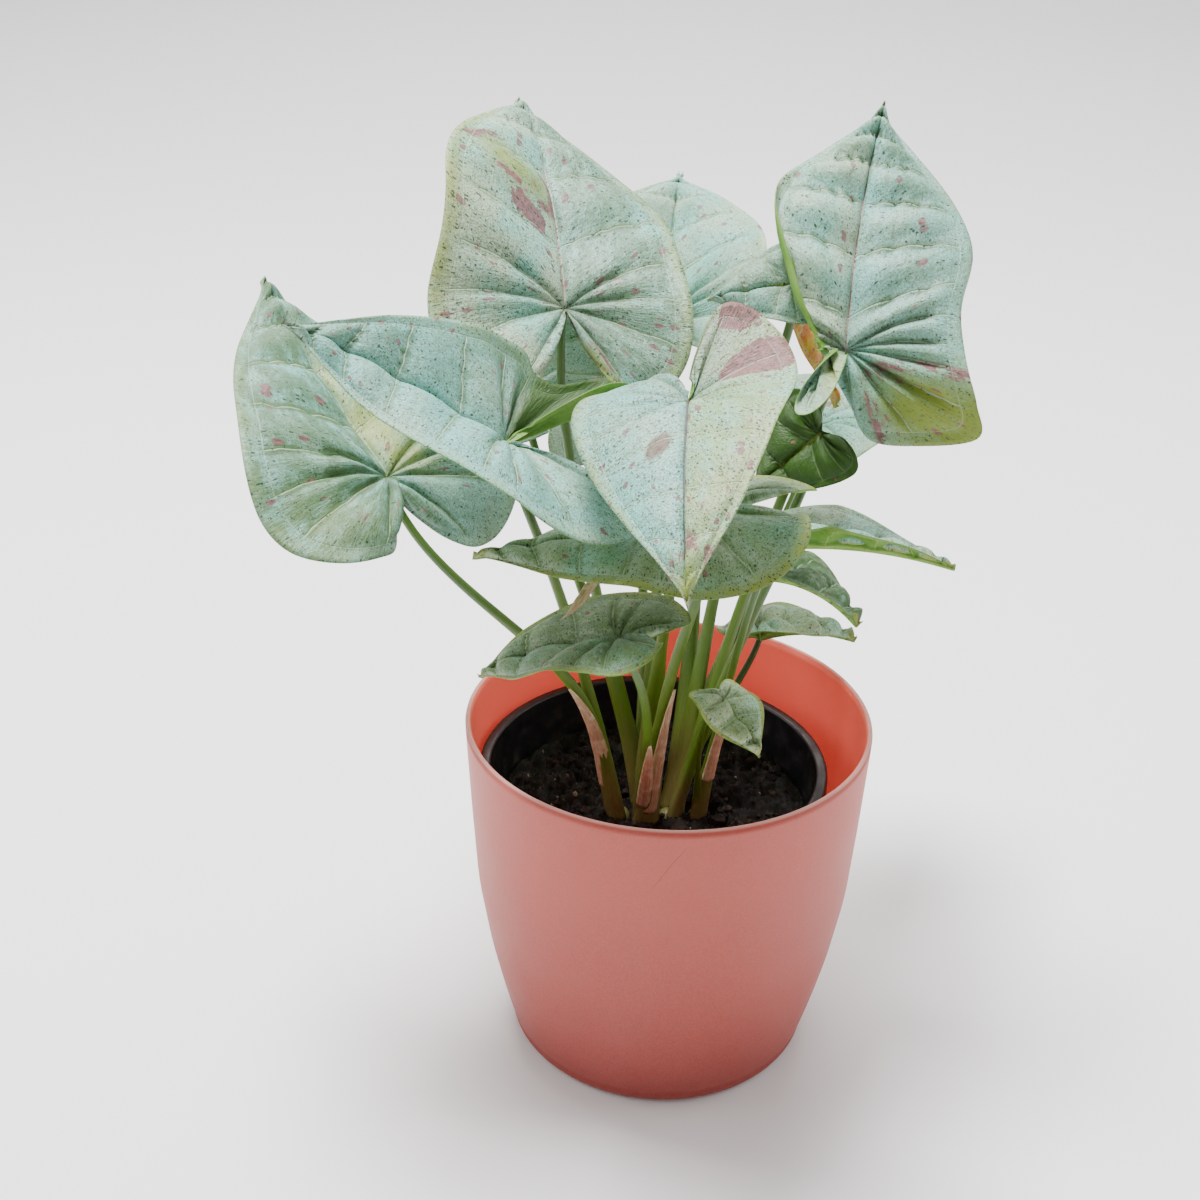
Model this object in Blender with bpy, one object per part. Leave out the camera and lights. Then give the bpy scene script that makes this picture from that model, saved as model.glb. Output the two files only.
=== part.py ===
"""Arrowhead plant in a black nursery pot, standing inside a plastic planter.

Frame: the origin is the middle of the planter's flat underside, +Z is up, and the side of the
plant that the photo shows faces -Y. Sizes in this file are in millimetres and degrees, and
turned into metres where a mesh is made.
"""

import math

import bpy
import numpy as np

MM = 0.001
GAP = 0.3

# Planter
PLANTER_RIM_RADIUS = 75.0
PLANTER_HEIGHT = 136.0
PLANTER_FOOT_RADIUS = 52.0
PLANTER_WALL = 2.0
PLANTER_FLOOR = 3.0
PLANTER_SIDES = 48

# Nursery pot, which stands a little off the planter's middle
POT_CENTRE = (-5.0, -1.0)
POT_BASE_RADIUS = 44.0
POT_NECK_RADIUS = 61.3
POT_LIP_RADIUS = 65.0
POT_HEIGHT = 112.7
POT_WALL = 1.2
POT_FLOOR = 2.0
POT_SIDES = 40
DRAIN_HOLES = 6
DRAIN_HOLE_RADIUS = 4.0
DRAIN_RING_RADIUS = 30.0

# Soil
SOIL_TOP = 98.0
SOIL_BUMP = 1.4
SOIL_RINGS = 7
SOIL_SIDES = 32

# Plant
BLADE_THICKNESS = 0.8
BLADE_ROWS = 13
BLADE_COLUMNS = (0.0, 0.3, 0.58, 0.82, 1.0)
FOOT_DEPTH = 12.0
PETIOLE_SIDES = 6
PETIOLE_RINGS = 11
SHEATH_THICKNESS = 0.7
SHEATH_ROWS = 7
SHEATH_COLUMNS = 5

# Outline of the right half of a blade from its tip round to the notch at its stalk: how far
# along the blade, as a share of its length, and how far out, as a share of its half width
OUTLINE = np.array([
    (1.00, 0.00), (0.93, 0.055), (0.80, 0.23), (0.61, 0.50), (0.38, 0.77), (0.14, 0.95), (-0.06, 1.00),
    (-0.24, 0.92), (-0.36, 0.70), (-0.38, 0.46), (-0.32, 0.28), (-0.19, 0.13), (-0.10, 0.05),
])

# The same for a half whose lobe is square and closes the notch
SQUARE_OUTLINE = np.array([
    (1.00, 0.00), (0.93, 0.055), (0.80, 0.23), (0.61, 0.50), (0.38, 0.72), (0.14, 0.86), (-0.06, 0.94),
    (-0.20, 1.02), (-0.31, 1.06), (-0.35, 0.60), (-0.34, 0.26), (-0.22, 0.10), (-0.12, 0.03),
])
FAN_SHARE = 0.30

# Feet of the plantlets: where each stands in the soil, and its radius
PLANTLETS = {
    "left": dict(foot=(-17.5, -11.0), radius=4.3),
    "front": dict(foot=(-8.2, -15.0), radius=4.3),
    "right": dict(foot=(1.2, -10.5), radius=4.3),
    "back": dict(foot=(-7.5, -4.5), radius=4.3),
    "sprout": dict(foot=(11.0, -11.0), radius=3.2),
}

# Shape that every blade starts from
COMMON = dict(
    outline_left=OUTLINE, outline_right=OUTLINE, lobe=1.0, wide_left=1.0, wide_right=1.0,
    droop=20, sweep=0, twist=0,
    fold_left=(12, 12, 12), fold_right=(12, 12, 12), curl_left=(-15, -15, -15), curl_right=(-15, -15, -15),
    wave=10, waves=2.5, phase=0.0, rolls_left=(), rolls_right=(), trims_left=(), trims_right=(),
    blunt=0.0, rise=60, lean=12, spring=0.9, arrive=0.7, bend=(0, 0), thick=2.5, thin=1.35,
)

# Blades: the junction with the stalk, the heading of the midrib there, its pitch and roll, the
# length from junction to tip and the full width; then what makes the blade its own
LEAVES = {
    "leaf_top_left": dict(
        plantlet="back", at=(-40, 18, 284), heading=98, pitch=52, roll=16, length=101, width=98,
        droop=40, twist=32, lobe=0.92, wide_left=1.04, wide_right=0.88, blunt=0.35,
        fold_left=(8, 16, 14), curl_left=(-35, -10, 5), fold_right=(16, 22, 14), curl_right=(-15, -5, -5),
        rise=35),
    "leaf_top_back": dict(
        plantlet="back", at=(-5, 50, 269), heading=86, pitch=36, roll=-6, length=86, width=94,
        droop=22, twist=12, fold_left=(22, 20, 15), curl_left=(0, -3, -10),
        fold_right=(20, 30, 30), curl_right=(-3, 10, 15), rise=50),
    "leaf_top_right": dict(
        plantlet="right", at=(52, -8, 280), heading=83, pitch=62, roll=8, length=91, width=84,
        outline_right=SQUARE_OUTLINE, droop=28, sweep=-14, lobe=0.92, blunt=0.45, wide_left=0.92,
        fold_left=(2, 5, 45), curl_left=(-20, -5, 50), fold_right=(8, 10, -10), curl_right=(-10, 10, -20),
        rolls_left=((0.22, 0.62, 0.90, 0.35, 200),), trims_left=((0.50, 0.18, 0.56),),
        rolls_right=((0.12, 0.50, 0.92, 0.80, -130),),
        rise=70, arrive=0.5, bend=(0, 8)),
    "leaf_left": dict(
        plantlet="left", at=(-97, -22, 238), heading=136, pitch=34, roll=14, length=90, width=104,
        droop=0, sweep=-10, twist=6, lobe=0.9, wide_left=1.1, wide_right=0.96,
        fold_left=(4, 8, 8), curl_left=(-24, -18, -20), fold_right=(12, 16, -4), curl_right=(-15, -12, -40),
        rise=24, arrive=1.1, bend=(15, 3)),
    "leaf_left_front": dict(
        plantlet="left", at=(-57, -44, 259), heading=190, pitch=37, roll=5, length=78, width=82,
        droop=8, sweep=5, twist=-30, lobe=1.5, wide_right=0.9,
        fold_left=(8, 8, 24), curl_left=(-20, -25, 4), fold_right=(27, 33, 50), curl_right=(9, 18, 40),
        trims_right=((0.52, 0.06, 0.22),), rise=35, bend=(0, 10)),
    "leaf_under": dict(
        plantlet="front", at=(5, -51, 239), heading=170, pitch=-18, roll=-22, length=74, width=74,
        droop=-18, sweep=15, twist=0, lobe=1.3, wide_right=0.42,
        fold_right=(9, 6, 8), curl_right=(-20, -25, -22),
        rise=85, bend=(-6, 0)),
    "leaf_front": dict(
        plantlet="back", at=(-1, -60, 280), heading=265, pitch=-8, roll=12, length=80, width=72,
        droop=32, twist=8, lobe=1.05, wide_left=0.92, fold_left=(7, 14, 35), curl_left=(-22, -12, 20),
        fold_right=(15, 7, 6), curl_right=(-10, -25, -26), rise=35, lean=-8),
    "leaf_right_low": dict(
        plantlet="right", at=(37, -17, 214), heading=-8, pitch=8, roll=0, length=57, width=52,
        droop=24, wide_left=0.85, fold_left=(14, 16, 12), curl_left=(-10, -10, -10), fold_right=(40, 46, 60),
        curl_right=(-5, -5, -5), lobe=0.8),
    "leaf_small_upper": dict(
        plantlet="sprout", at=(26.5, -38, 212), heading=-30, pitch=16, roll=-8, length=38, width=42,
        droop=55, lobe=0.8, wide_left=0.85, fold_left=(22, 22, 18), fold_right=(30, 30, 30), bend=(1, 5),
        thick=1.8, thin=1.1),
    "leaf_small_lower": dict(
        plantlet="right", at=(35, 29.5, 153), heading=8, pitch=14, roll=-10, length=38, width=46,
        droop=36, twist=15, wide_right=0.8, fold_left=(20, 14, 14), fold_right=(20, 30, 28),
        thick=1.8, thin=1.1),
    "leaf_low_left": dict(
        plantlet="front", at=(-20, -62, 199), heading=160, pitch=-11, roll=2, length=54, width=52,
        droop=28, twist=-22, wide_right=0.9,
        fold_left=(7, 14, 20), fold_right=(26, 20, 10), curl_right=(5, -6, -20),
        thick=2.0, thin=1.2),
    "leaf_sprout": dict(
        plantlet="sprout", at=(16, -44, 168), heading=-50, pitch=-25, roll=-10, length=23, width=30,
        droop=16, twist=15, lobe=0.85, fold_left=(10, 8, 5), fold_right=(4, 12, 5), thick=1.1, thin=0.8,
        rise=70),
    "leaf_shaded": dict(
        plantlet="right", at=(46, -9, 251), heading=178, pitch=-45, roll=-60, length=31, width=36,
        droop=0, lobe=0.5, wave=4, rise=80, arrive=0.3, bend=(2, 12)),
    "leaf_green_back": dict(
        plantlet="right", at=(36, 14, 295), heading=186, pitch=-8, roll=-48, length=29, width=30,
        droop=10, lobe=0.5, rise=60, arrive=0.35, bend=(-6, 4)),
    "leaf_yellowing": dict(
        plantlet="right", at=(40, 37, 284), heading=-25, pitch=-62, roll=0, length=42, width=38,
        droop=5, lobe=0.5, wide_right=0.85, rise=60, arrive=0.5, bend=(0, 8)),
    "leaf_back_left": dict(
        plantlet="back", at=(-56, 55, 240), heading=140, pitch=20, roll=0, length=70, width=74,
        droop=35),
    "leaf_back_right": dict(
        plantlet="right", at=(58, 80, 220), heading=40, pitch=15, roll=0, length=66, width=70,
        droop=40),
    "leaf_back_middle": dict(
        plantlet="back", at=(-12, 78, 212), heading=96, pitch=5, roll=0, length=68, width=72,
        droop=40),
}


# Dry sheaths: the petiole that each clasps, the stretch of it as shares of its length, the way
# it faces seen from above, the half angle that it wraps, and how far its end stands off
SHEATHS = {
    "sheath_left": dict(leaf="leaf_left", start=0.27, end=0.46, facing=-95, spread=75, flare=1.2),
    "sheath_front": dict(leaf="leaf_low_left", start=0.28, end=0.50, facing=-80, spread=75, flare=1.2),
    "sheath_middle": dict(leaf="leaf_under", start=0.22, end=0.46, facing=-60, spread=70, flare=1.0),
    "sheath_right": dict(leaf="leaf_small_upper", start=0.34, end=0.56, facing=-60, spread=75, flare=1.0),
}


def clear_scene():
    for thing in list(bpy.data.objects):
        bpy.data.objects.remove(thing, do_unlink=True)


def make_material(name, colour, roughness):
    material = bpy.data.materials.new(name)
    material.use_nodes = True
    shader = material.node_tree.nodes["Principled BSDF"]
    shader.inputs["Base Color"].default_value = (*colour, 1.0)
    shader.inputs["Roughness"].default_value = roughness
    return material


def make_object(name, points, faces, material=None, collection=None):
    """Mesh object from points in mm and a list of faces."""
    mesh = bpy.data.meshes.new(name)
    mesh.from_pydata((np.asarray(points) * MM).tolist(), [], [list(map(int, face)) for face in faces])
    mesh.validate()
    thing = bpy.data.objects.new(name, mesh)
    (collection or bpy.context.scene.collection).objects.link(thing)
    if material:
        mesh.materials.append(material)
    return thing


def shade_round(thing, angle=40):
    thing.data.shade_smooth()
    thing.data.set_sharp_from_angle(angle=math.radians(angle))


def apply_modifiers(thing):
    """Replace the object's mesh by its evaluated one and drop its modifiers."""
    graph = bpy.context.evaluated_depsgraph_get()
    mesh = bpy.data.meshes.new_from_object(thing.evaluated_get(graph))
    thing.modifiers.clear()
    thing.data = mesh


def boolean_with(thing, collection, operation, solver="EXACT"):
    """One Boolean of the object with all of a collection, whose objects are then removed."""
    modifier = thing.modifiers.new(operation.title(), "BOOLEAN")
    modifier.operation = operation
    modifier.operand_type = "COLLECTION"
    modifier.collection = collection
    modifier.solver = solver
    bpy.context.view_layer.update()
    apply_modifiers(thing)
    for other in list(collection.objects):
        bpy.data.objects.remove(other, do_unlink=True)
    bpy.data.collections.remove(collection)


def new_collection(name):
    collection = bpy.data.collections.new(name)
    bpy.context.scene.collection.children.link(collection)
    return collection


def smooth_path(points, share):
    """Catmull-Rom curve through the points: share runs from 0 at the first to 1 at the last."""
    points = np.asarray(points, float)
    share = np.asarray(share, float)
    spans = len(points) - 1
    first = 2 * points[0] - points[1]
    last = 2 * points[-1] - points[-2]
    padded = np.concatenate([[first], points, [last]])
    place = np.clip(share, 0, 1) * spans
    index = np.minimum(place.astype(int), spans - 1)
    f = place - index
    if points.ndim > 1:
        f = f[..., None]
    a, b, c, d = (padded[index + step] for step in range(4))
    return 0.5 * (2 * b + (c - a) * f + (2 * a - 5 * b + 4 * c - d) * f**2 + (3 * b - a - 3 * c + d) * f**3)


def arc(centre, radius, start, end, steps):
    """Points on an arc in the profile's plane, angles in degrees."""
    angles = np.radians(np.linspace(start, end, steps))
    return [(centre[0] + radius * math.cos(a), centre[1] + radius * math.sin(a)) for a in angles]


def turned(name, profile, sides, material, centre=(0.0, 0.0), base=0.0):
    """Solid turned about the vertical: the profile runs from the axis out, up, back in and to the axis."""
    profile = np.asarray(profile, float)
    angles = 2 * np.pi * np.arange(sides) / sides
    ring_points = profile[1:-1]
    x = ring_points[:, :1] * np.cos(angles) + centre[0]
    y = ring_points[:, :1] * np.sin(angles) + centre[1]
    z = np.repeat(ring_points[:, 1:] + base, sides, axis=1)
    rings = np.stack([x, y, z], axis=-1).reshape(-1, 3)
    poles = [(*centre, profile[0, 1] + base), (*centre, profile[-1, 1] + base)]
    points = np.vstack([rings, poles])
    count = len(ring_points)
    low, high = count * sides, count * sides + 1
    faces = []
    for k in range(sides):
        j = (k + 1) % sides
        faces.append((low, j, k))
        for low_ring in range(0, (count - 1) * sides, sides):
            high_ring = low_ring + sides
            faces.append((low_ring + k, low_ring + j, high_ring + j, high_ring + k))
        faces.append((high, (count - 1) * sides + k, (count - 1) * sides + j))
    thing = make_object(name, points, faces, material)
    shade_round(thing)
    return thing


def planter_profile():
    """Flat foot, small rounded corner, wall that opens in a soft curve, rounded rim, and the same inside."""
    corner = 5.0
    wall_shape = [
        (57.9, 4.5), (62.8, 21.8), (67.0, 40.9), (71.2, 68.0), (73.3, 102.0),
        (PLANTER_RIM_RADIUS, PLANTER_HEIGHT - 1.2)]
    outer = smooth_path(wall_shape, np.linspace(0, 1, 11))
    foot = arc((PLANTER_FOOT_RADIUS + 1.0, corner), corner, -90, -12, 4)
    rim = arc((PLANTER_RIM_RADIUS - PLANTER_WALL / 2, PLANTER_HEIGHT - 1.0), 1.0, 20, 160, 3)
    inner = outer[::-1] - (PLANTER_WALL, 0)
    inner = [(r, z) for r, z in inner if z > 2.2 * PLANTER_FLOOR]
    floor = arc((inner[-1][0] - corner, PLANTER_FLOOR + corner), corner, -20, -90, 3)
    return [(0, 0), *foot, *outer, *rim, *inner, *floor, (0, PLANTER_FLOOR)]


def make_planter():
    material = make_material("planter_plastic", (0.56, 0.19, 0.15), 0.45)
    return turned("planter", planter_profile(), PLANTER_SIDES, material)


def pot_inner_radius(height):
    """Inside radius of the nursery pot at a height above its base."""
    share = height / (POT_HEIGHT - 7.7)
    return POT_BASE_RADIUS + (POT_NECK_RADIUS - POT_BASE_RADIUS) * share - POT_WALL


def pot_profile():
    """Tapered wall with a flat floor and a lip that turns out and down."""
    neck = POT_HEIGHT - 7.7
    lip = [
        (POT_NECK_RADIUS, neck), (POT_LIP_RADIUS - 0.7, neck + 0.6), (POT_LIP_RADIUS, neck + 1.6),
        (POT_LIP_RADIUS, POT_HEIGHT - 1.2), (POT_LIP_RADIUS - 1.0, POT_HEIGHT),
        (POT_LIP_RADIUS - 3.0, POT_HEIGHT),
        (POT_LIP_RADIUS - 4.2, POT_HEIGHT - 1.2),
    ]
    inner = [(pot_inner_radius(h), h) for h in (neck, 70.0, 35.0, POT_FLOOR + 1.0)]
    return [(0, 0), (POT_BASE_RADIUS - 1.2, 0), (POT_BASE_RADIUS, 1.2), *lip, *inner,
            (inner[-1][0] - 1.2, POT_FLOOR), (0, POT_FLOOR)]


def make_nursery_pot():
    base = PLANTER_FLOOR + GAP
    plastic = make_material("nursery_pot_plastic", (0.012, 0.013, 0.016), 0.4)
    pot = turned("nursery_pot", pot_profile(), POT_SIDES, plastic, POT_CENTRE, base)
    cutters = new_collection("drain_cutters")
    for k in range(DRAIN_HOLES):
        angle = 2 * math.pi * k / DRAIN_HOLES
        x = POT_CENTRE[0] + DRAIN_RING_RADIUS * math.cos(angle)
        y = POT_CENTRE[1] + DRAIN_RING_RADIUS * math.sin(angle)
        add_rod(f"drain_cutter_{k}", (x, y), base - 2, base + POT_FLOOR + 2, DRAIN_HOLE_RADIUS, 12, cutters)
    boolean_with(pot, cutters, "DIFFERENCE")
    shade_round(pot)
    return pot


def add_rod(name, centre, low, high, radius, sides, collection):
    """Upright cylinder for a cut."""
    angles = 2 * np.pi * np.arange(sides) / sides
    ring = np.stack([centre[0] + radius * np.cos(angles), centre[1] + radius * np.sin(angles)], axis=-1)
    points = [(x, y, low) for x, y in ring] + [(x, y, high) for x, y in ring]
    faces = [tuple(range(sides))[::-1], tuple(range(sides, 2 * sides))]
    faces += [(k, (k + 1) % sides, sides + (k + 1) % sides, sides + k) for k in range(sides)]
    return make_object(name, points, faces, None, collection)


def soil_height(x, y):
    """Crumbly top of the soil: three crossing waves of different length, flat at no place."""
    waves = np.sin(0.21 * x + 0.13 * y) + 0.7 * np.sin(0.37 * y - 0.19 * x + 1.3)
    waves += 0.5 * np.sin(0.55 * x + 0.61 * y)
    return SOIL_TOP + SOIL_BUMP * waves / 2.2


def make_soil():
    """Body that fills the pot, with a bumpy top and a plain hole for the foot of each plantlet."""
    base = PLANTER_FLOOR + GAP + POT_FLOOR + GAP
    lift = PLANTER_FLOOR + GAP
    heights = np.linspace(base, SOIL_TOP - 3.0, 4)
    angles = 2 * np.pi * np.arange(SOIL_SIDES) / SOIL_SIDES
    ring = np.stack([np.cos(angles), np.sin(angles)], axis=-1)
    rows = []
    for z in heights:
        radius = pot_inner_radius(z - lift) - GAP - (1.0 if z == heights[0] else 0.0)
        rows.append(np.column_stack([ring * radius + POT_CENTRE, np.full(SOIL_SIDES, z)]))
    rim = pot_inner_radius(SOIL_TOP - lift) - GAP - 0.6
    for share in np.linspace(1, 0, SOIL_RINGS + 1)[:-1]:
        xy = ring * rim * share + POT_CENTRE
        rows.append(np.column_stack([xy, soil_height(xy[:, 0], xy[:, 1])]))
    count = len(rows)
    low, high = count * SOIL_SIDES, count * SOIL_SIDES + 1
    points = np.vstack(rows + [[(*POT_CENTRE, base)], [(*POT_CENTRE, soil_height(*POT_CENTRE))]])
    faces = []
    for k in range(SOIL_SIDES):
        j = (k + 1) % SOIL_SIDES
        faces.append((low, j, k))
        for r in range(count - 1):
            a, b = r * SOIL_SIDES, (r + 1) * SOIL_SIDES
            faces += [(a + k, a + j, b + j), (a + k, b + j, b + k)]
        faces.append((high, (count - 1) * SOIL_SIDES + k, (count - 1) * SOIL_SIDES + j))
    soil = make_object("soil", points, faces, make_material("soil", (0.018, 0.010, 0.006), 0.95))
    cutters = new_collection("foot_cutters")
    for name, plantlet in PLANTLETS.items():
        hole = plantlet["radius"] + GAP
        bottom = SOIL_TOP - FOOT_DEPTH - GAP
        add_rod(f"foot_cutter_{name}", plantlet["foot"], bottom, SOIL_TOP + 8, hole, 12, cutters)
    boolean_with(soil, cutters, "DIFFERENCE")
    return soil


def leaf_values(leaf):
    return {**COMMON, **leaf}


def leaf_frame(leaf):
    """Columns: along the midrib, to the left of it, and out of the upper face, at the junction."""
    heading, pitch, roll = np.radians([leaf["heading"], leaf["pitch"], leaf["roll"]])
    along = np.array([np.cos(pitch) * np.cos(heading), np.cos(pitch) * np.sin(heading), np.sin(pitch)])
    left = np.array([-np.sin(heading), np.cos(heading), 0.0])
    up = np.cross(along, left)
    left, up = left * np.cos(roll) + up * np.sin(roll), up * np.cos(roll) - left * np.sin(roll)
    return np.column_stack([along, left, up])


def bump(share, middle, reach):
    return np.exp(-(((share - middle) / reach) ** 4))


def half_blade(leaf, rows, columns, side):
    """Half of a blade as a grid of points in mm.

    Each row is one side vein. It leaves the midrib, or in the lobe the junction, and runs to the
    margin. On its way it rises and falls by an angle that is a fold, plus a curl that grows
    outwards, plus a wave along the margin, plus rolled stretches of the margin. The half is then
    carried on the midrib, which droops, sweeps and twists towards the tip.
    """
    hand = "left" if side > 0 else "right"
    length = leaf["length"]
    half_width = leaf["width"] / 2 * leaf["wide_" + hand]
    outline = smooth_path(leaf["outline_" + hand], rows)
    along = outline[:, :1]
    margin_x = np.where(along < 0, along * leaf["lobe"], along) * length
    margin_y = outline[:, 1:] * half_width * (1 + leaf["blunt"] * bump(rows, 0.2, 0.16))[:, None]
    root_x = np.maximum(0, (along - FAN_SHARE) / (1 - FAN_SHARE)) * length
    for middle, reach, share in leaf["trims_" + hand]:
        keep = 1 - share * bump(rows, middle, reach)[:, None]
        margin_x = root_x + (margin_x - root_x) * keep
        margin_y = margin_y * keep
    b = np.asarray(columns)[None, :]
    a = np.asarray(rows)[:, None]
    span = np.hypot(margin_x - root_x, margin_y)
    bow = 0.29 * span * b * (1 - b) * np.clip(along + 0.3, 0, 1)
    x = root_x + (margin_x - root_x) * b + bow
    y = margin_y * b
    wave_place = leaf["waves"] * a + leaf["phase"] + (0.37 if side > 0 else 0.0)
    fold = smooth_path(leaf["fold_" + hand], rows)[:, None]
    curl = smooth_path(leaf["curl_" + hand], rows)[:, None]
    angle = fold + curl * b
    angle = angle + leaf["wave"] * np.sin(2 * np.pi * wave_place) * b * np.minimum(1, margin_y / half_width * 2)
    for start, end, edge_start, edge_end, turn in leaf["rolls_" + hand]:
        share = np.clip((a - start) / (end - start), 0, 1)
        crease = edge_start + (edge_end - edge_start) * share
        strength = bump(a, (start + end) / 2, (end - start) / 2)
        angle = angle + turn * strength * np.clip((b - crease) / 0.3, 0, 1)
    angle = np.radians(angle)
    step_x, step_y = np.diff(x, axis=1), np.diff(y, axis=1)
    middle_angle = 0.5 * (angle[:, 1:] + angle[:, :-1])
    start = np.zeros_like(x[:, :1])
    flat_x = x[:, :1] + np.hstack([start, np.cumsum(step_x * np.cos(middle_angle), axis=1)])
    flat_y = np.hstack([start, np.cumsum(step_y * np.cos(middle_angle), axis=1)])
    height = np.hstack([start, np.cumsum(np.hypot(step_x, step_y) * np.sin(middle_angle), axis=1)])
    return carry_on_midrib(leaf, flat_x, side * flat_y, height)


def carry_on_midrib(leaf, x, y, height):
    """Bend blade points along the midrib's curve and set them at the junction."""
    stations = np.linspace(-0.7, 1.1, 80) * leaf["length"]
    share = np.maximum(stations / leaf["length"], 0)
    droop, sweep, twist = (math.radians(leaf[key]) * share for key in ("droop", "sweep", "twist"))
    zero = np.zeros_like(share)
    along = np.column_stack([np.cos(droop) * np.cos(sweep), np.cos(droop) * np.sin(sweep), -np.sin(droop)])
    steps = 0.5 * (along[1:] + along[:-1]) * np.diff(stations)[:, None]
    rib = np.vstack([np.zeros(3), np.cumsum(steps, axis=0)])
    rib = rib - [np.interp(0, stations, rib[:, k]) for k in range(3)]
    left = np.column_stack([-np.sin(sweep), np.cos(sweep), zero])
    up = np.cross(along, left)
    turned_left = left * np.cos(twist)[:, None] + up * np.sin(twist)[:, None]
    turned_up = up * np.cos(twist)[:, None] - left * np.sin(twist)[:, None]

    def at(values):
        return np.stack([np.interp(x, stations, values[:, k]) for k in range(3)], axis=-1)

    points = at(rib) + at(turned_left) * y[..., None] + at(turned_up) * height[..., None]
    return points @ leaf_frame(leaf).T + np.array(leaf["at"], float)


def blade_grid(leaf, row_count, columns):
    """Whole blade as one grid, from the right margin over the midrib to the left margin."""
    rows = np.linspace(0, 1, row_count)
    right = half_blade(leaf, rows, columns, -1)
    left = half_blade(leaf, rows, columns, 1)
    return np.concatenate([right[:, ::-1], left[:, 1:]], axis=1)


def blade_triangles(rows, columns, fan_row):
    """Point numbers of the grid with the tip and the junction each made one point, and its triangles."""
    middle = columns // 2
    number = np.arange(rows * columns).reshape(rows, columns)
    number[0, :] = number[0, 0]
    number[fan_row:, middle] = number[fan_row, middle]
    triangles = []
    for r in range(rows - 1):
        for c in range(columns - 1):
            corners = (number[r, c], number[r + 1, c], number[r + 1, c + 1], number[r, c + 1])
            if c < middle:
                pair = (corners[0], corners[1], corners[2]), (corners[0], corners[2], corners[3])
            else:
                pair = (corners[0], corners[1], corners[3]), (corners[1], corners[2], corners[3])
            triangles += [t for t in pair if len(set(t)) == 3]
    edge = [number[r, 0] for r in range(rows)] + [number[-1, c] for c in range(1, columns)]
    edge += [number[r, columns - 1] for r in range(rows - 2, 0, -1)]
    return np.array(triangles), edge


def point_normals(points, triangles):
    """Mean direction out of the upper face at each point."""
    corners = points[triangles]
    face = np.cross(corners[:, 1] - corners[:, 0], corners[:, 2] - corners[:, 0])
    normals = np.zeros_like(points)
    for k in range(3):
        np.add.at(normals, triangles[:, k], face)
    return normals / np.maximum(np.linalg.norm(normals, axis=1), 1e-9)[:, None]


def thin_solid(name, grid, triangles, edge, thickness, material):
    """Thin closed solid: both faces split into the same triangles, joined round the edge."""
    middle = grid.reshape(-1, 3)
    offset = point_normals(middle, triangles) * thickness / 2
    count = len(middle)
    points = np.vstack([middle + offset, middle - offset])
    faces = [tuple(t) for t in triangles] + [tuple(t[::-1] + count) for t in triangles]
    for here, there in zip(edge, edge[1:] + edge[:1]):
        faces += [(there, here, here + count), (there, here + count, there + count)]
    used = sorted({int(v) for face in faces for v in face})
    order = {old: new for new, old in enumerate(used)}
    thing = make_object(name, points[used], [[order[int(v)] for v in face] for face in faces], material)
    shade_round(thing)
    return thing


def make_blade(name, leaf, material):
    grid = blade_grid(leaf, BLADE_ROWS, BLADE_COLUMNS)
    rows, columns = grid.shape[:2]
    shares = smooth_path(OUTLINE, np.linspace(0, 1, rows))[:, 0]
    fan_row = int(np.argmax(shares <= FAN_SHARE))
    triangles, edge = blade_triangles(rows, columns, fan_row)
    return thin_solid(name, grid, triangles, edge, BLADE_THICKNESS, material)


def petiole_path(leaf, foot, rings):
    """Curve from inside the plantlet's stem to just under the blade at its junction."""
    along, _, up = leaf_frame(leaf).T
    rise = math.radians(leaf["rise"])
    end_way = along * math.cos(rise) + up * math.sin(rise)
    clearance = BLADE_THICKNESS / 2 + GAP + leaf["thin"] * math.sqrt(max(0.0, 1 - float(end_way @ up) ** 2))
    start = np.array([foot[0], foot[1], SOIL_TOP + 1.0])
    end = np.array(leaf["at"], float) - up * clearance
    out = end[:2] - start[:2]
    out = out / max(np.linalg.norm(out), 1e-6)
    lean = math.radians(leaf["lean"])
    start_way = np.array([out[0] * math.sin(lean), out[1] * math.sin(lean), math.cos(lean)])
    start = start + np.array([out[0], out[1], 0.0]) * 1.6
    reach = np.linalg.norm(end - start)
    t = np.linspace(0, 1, rings)[:, None]
    aside = np.array([*leaf["bend"], 0.0]) * np.sin(np.pi * t) ** 2
    return aside + (
        (2 * t**3 - 3 * t**2 + 1) * start + (t**3 - 2 * t**2 + t) * start_way * reach * leaf["spring"]
        + (3 * t**2 - 2 * t**3) * end + (t**3 - t**2) * end_way * reach * leaf["arrive"])


def tube(name, path, radii, sides, material=None, collection=None):
    """Closed round tube along a path, its rings turned as little as the path allows."""
    way = np.gradient(path, axis=0)
    way = way / np.linalg.norm(way, axis=1)[:, None]
    side = np.cross(way[0], (0.31, 0.95, 0.05))
    side = side / np.linalg.norm(side)
    angles = 2 * np.pi * np.arange(sides) / sides
    rings = []
    for centre, forward, radius in zip(path, way, radii):
        side = side - forward * (side @ forward)
        side = side / np.linalg.norm(side)
        other = np.cross(forward, side)
        rings.append(centre + radius * (np.outer(np.cos(angles), side) + np.outer(np.sin(angles), other)))
    count = len(path)
    faces = [tuple(range(sides))[::-1], tuple(range((count - 1) * sides, count * sides))]
    for r in range(count - 1):
        for k in range(sides):
            a, b = r * sides + k, r * sides + (k + 1) % sides
            faces.append((a, b, b + sides, a + sides))
    return make_object(name, np.vstack(rings), faces, material, collection)


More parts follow.
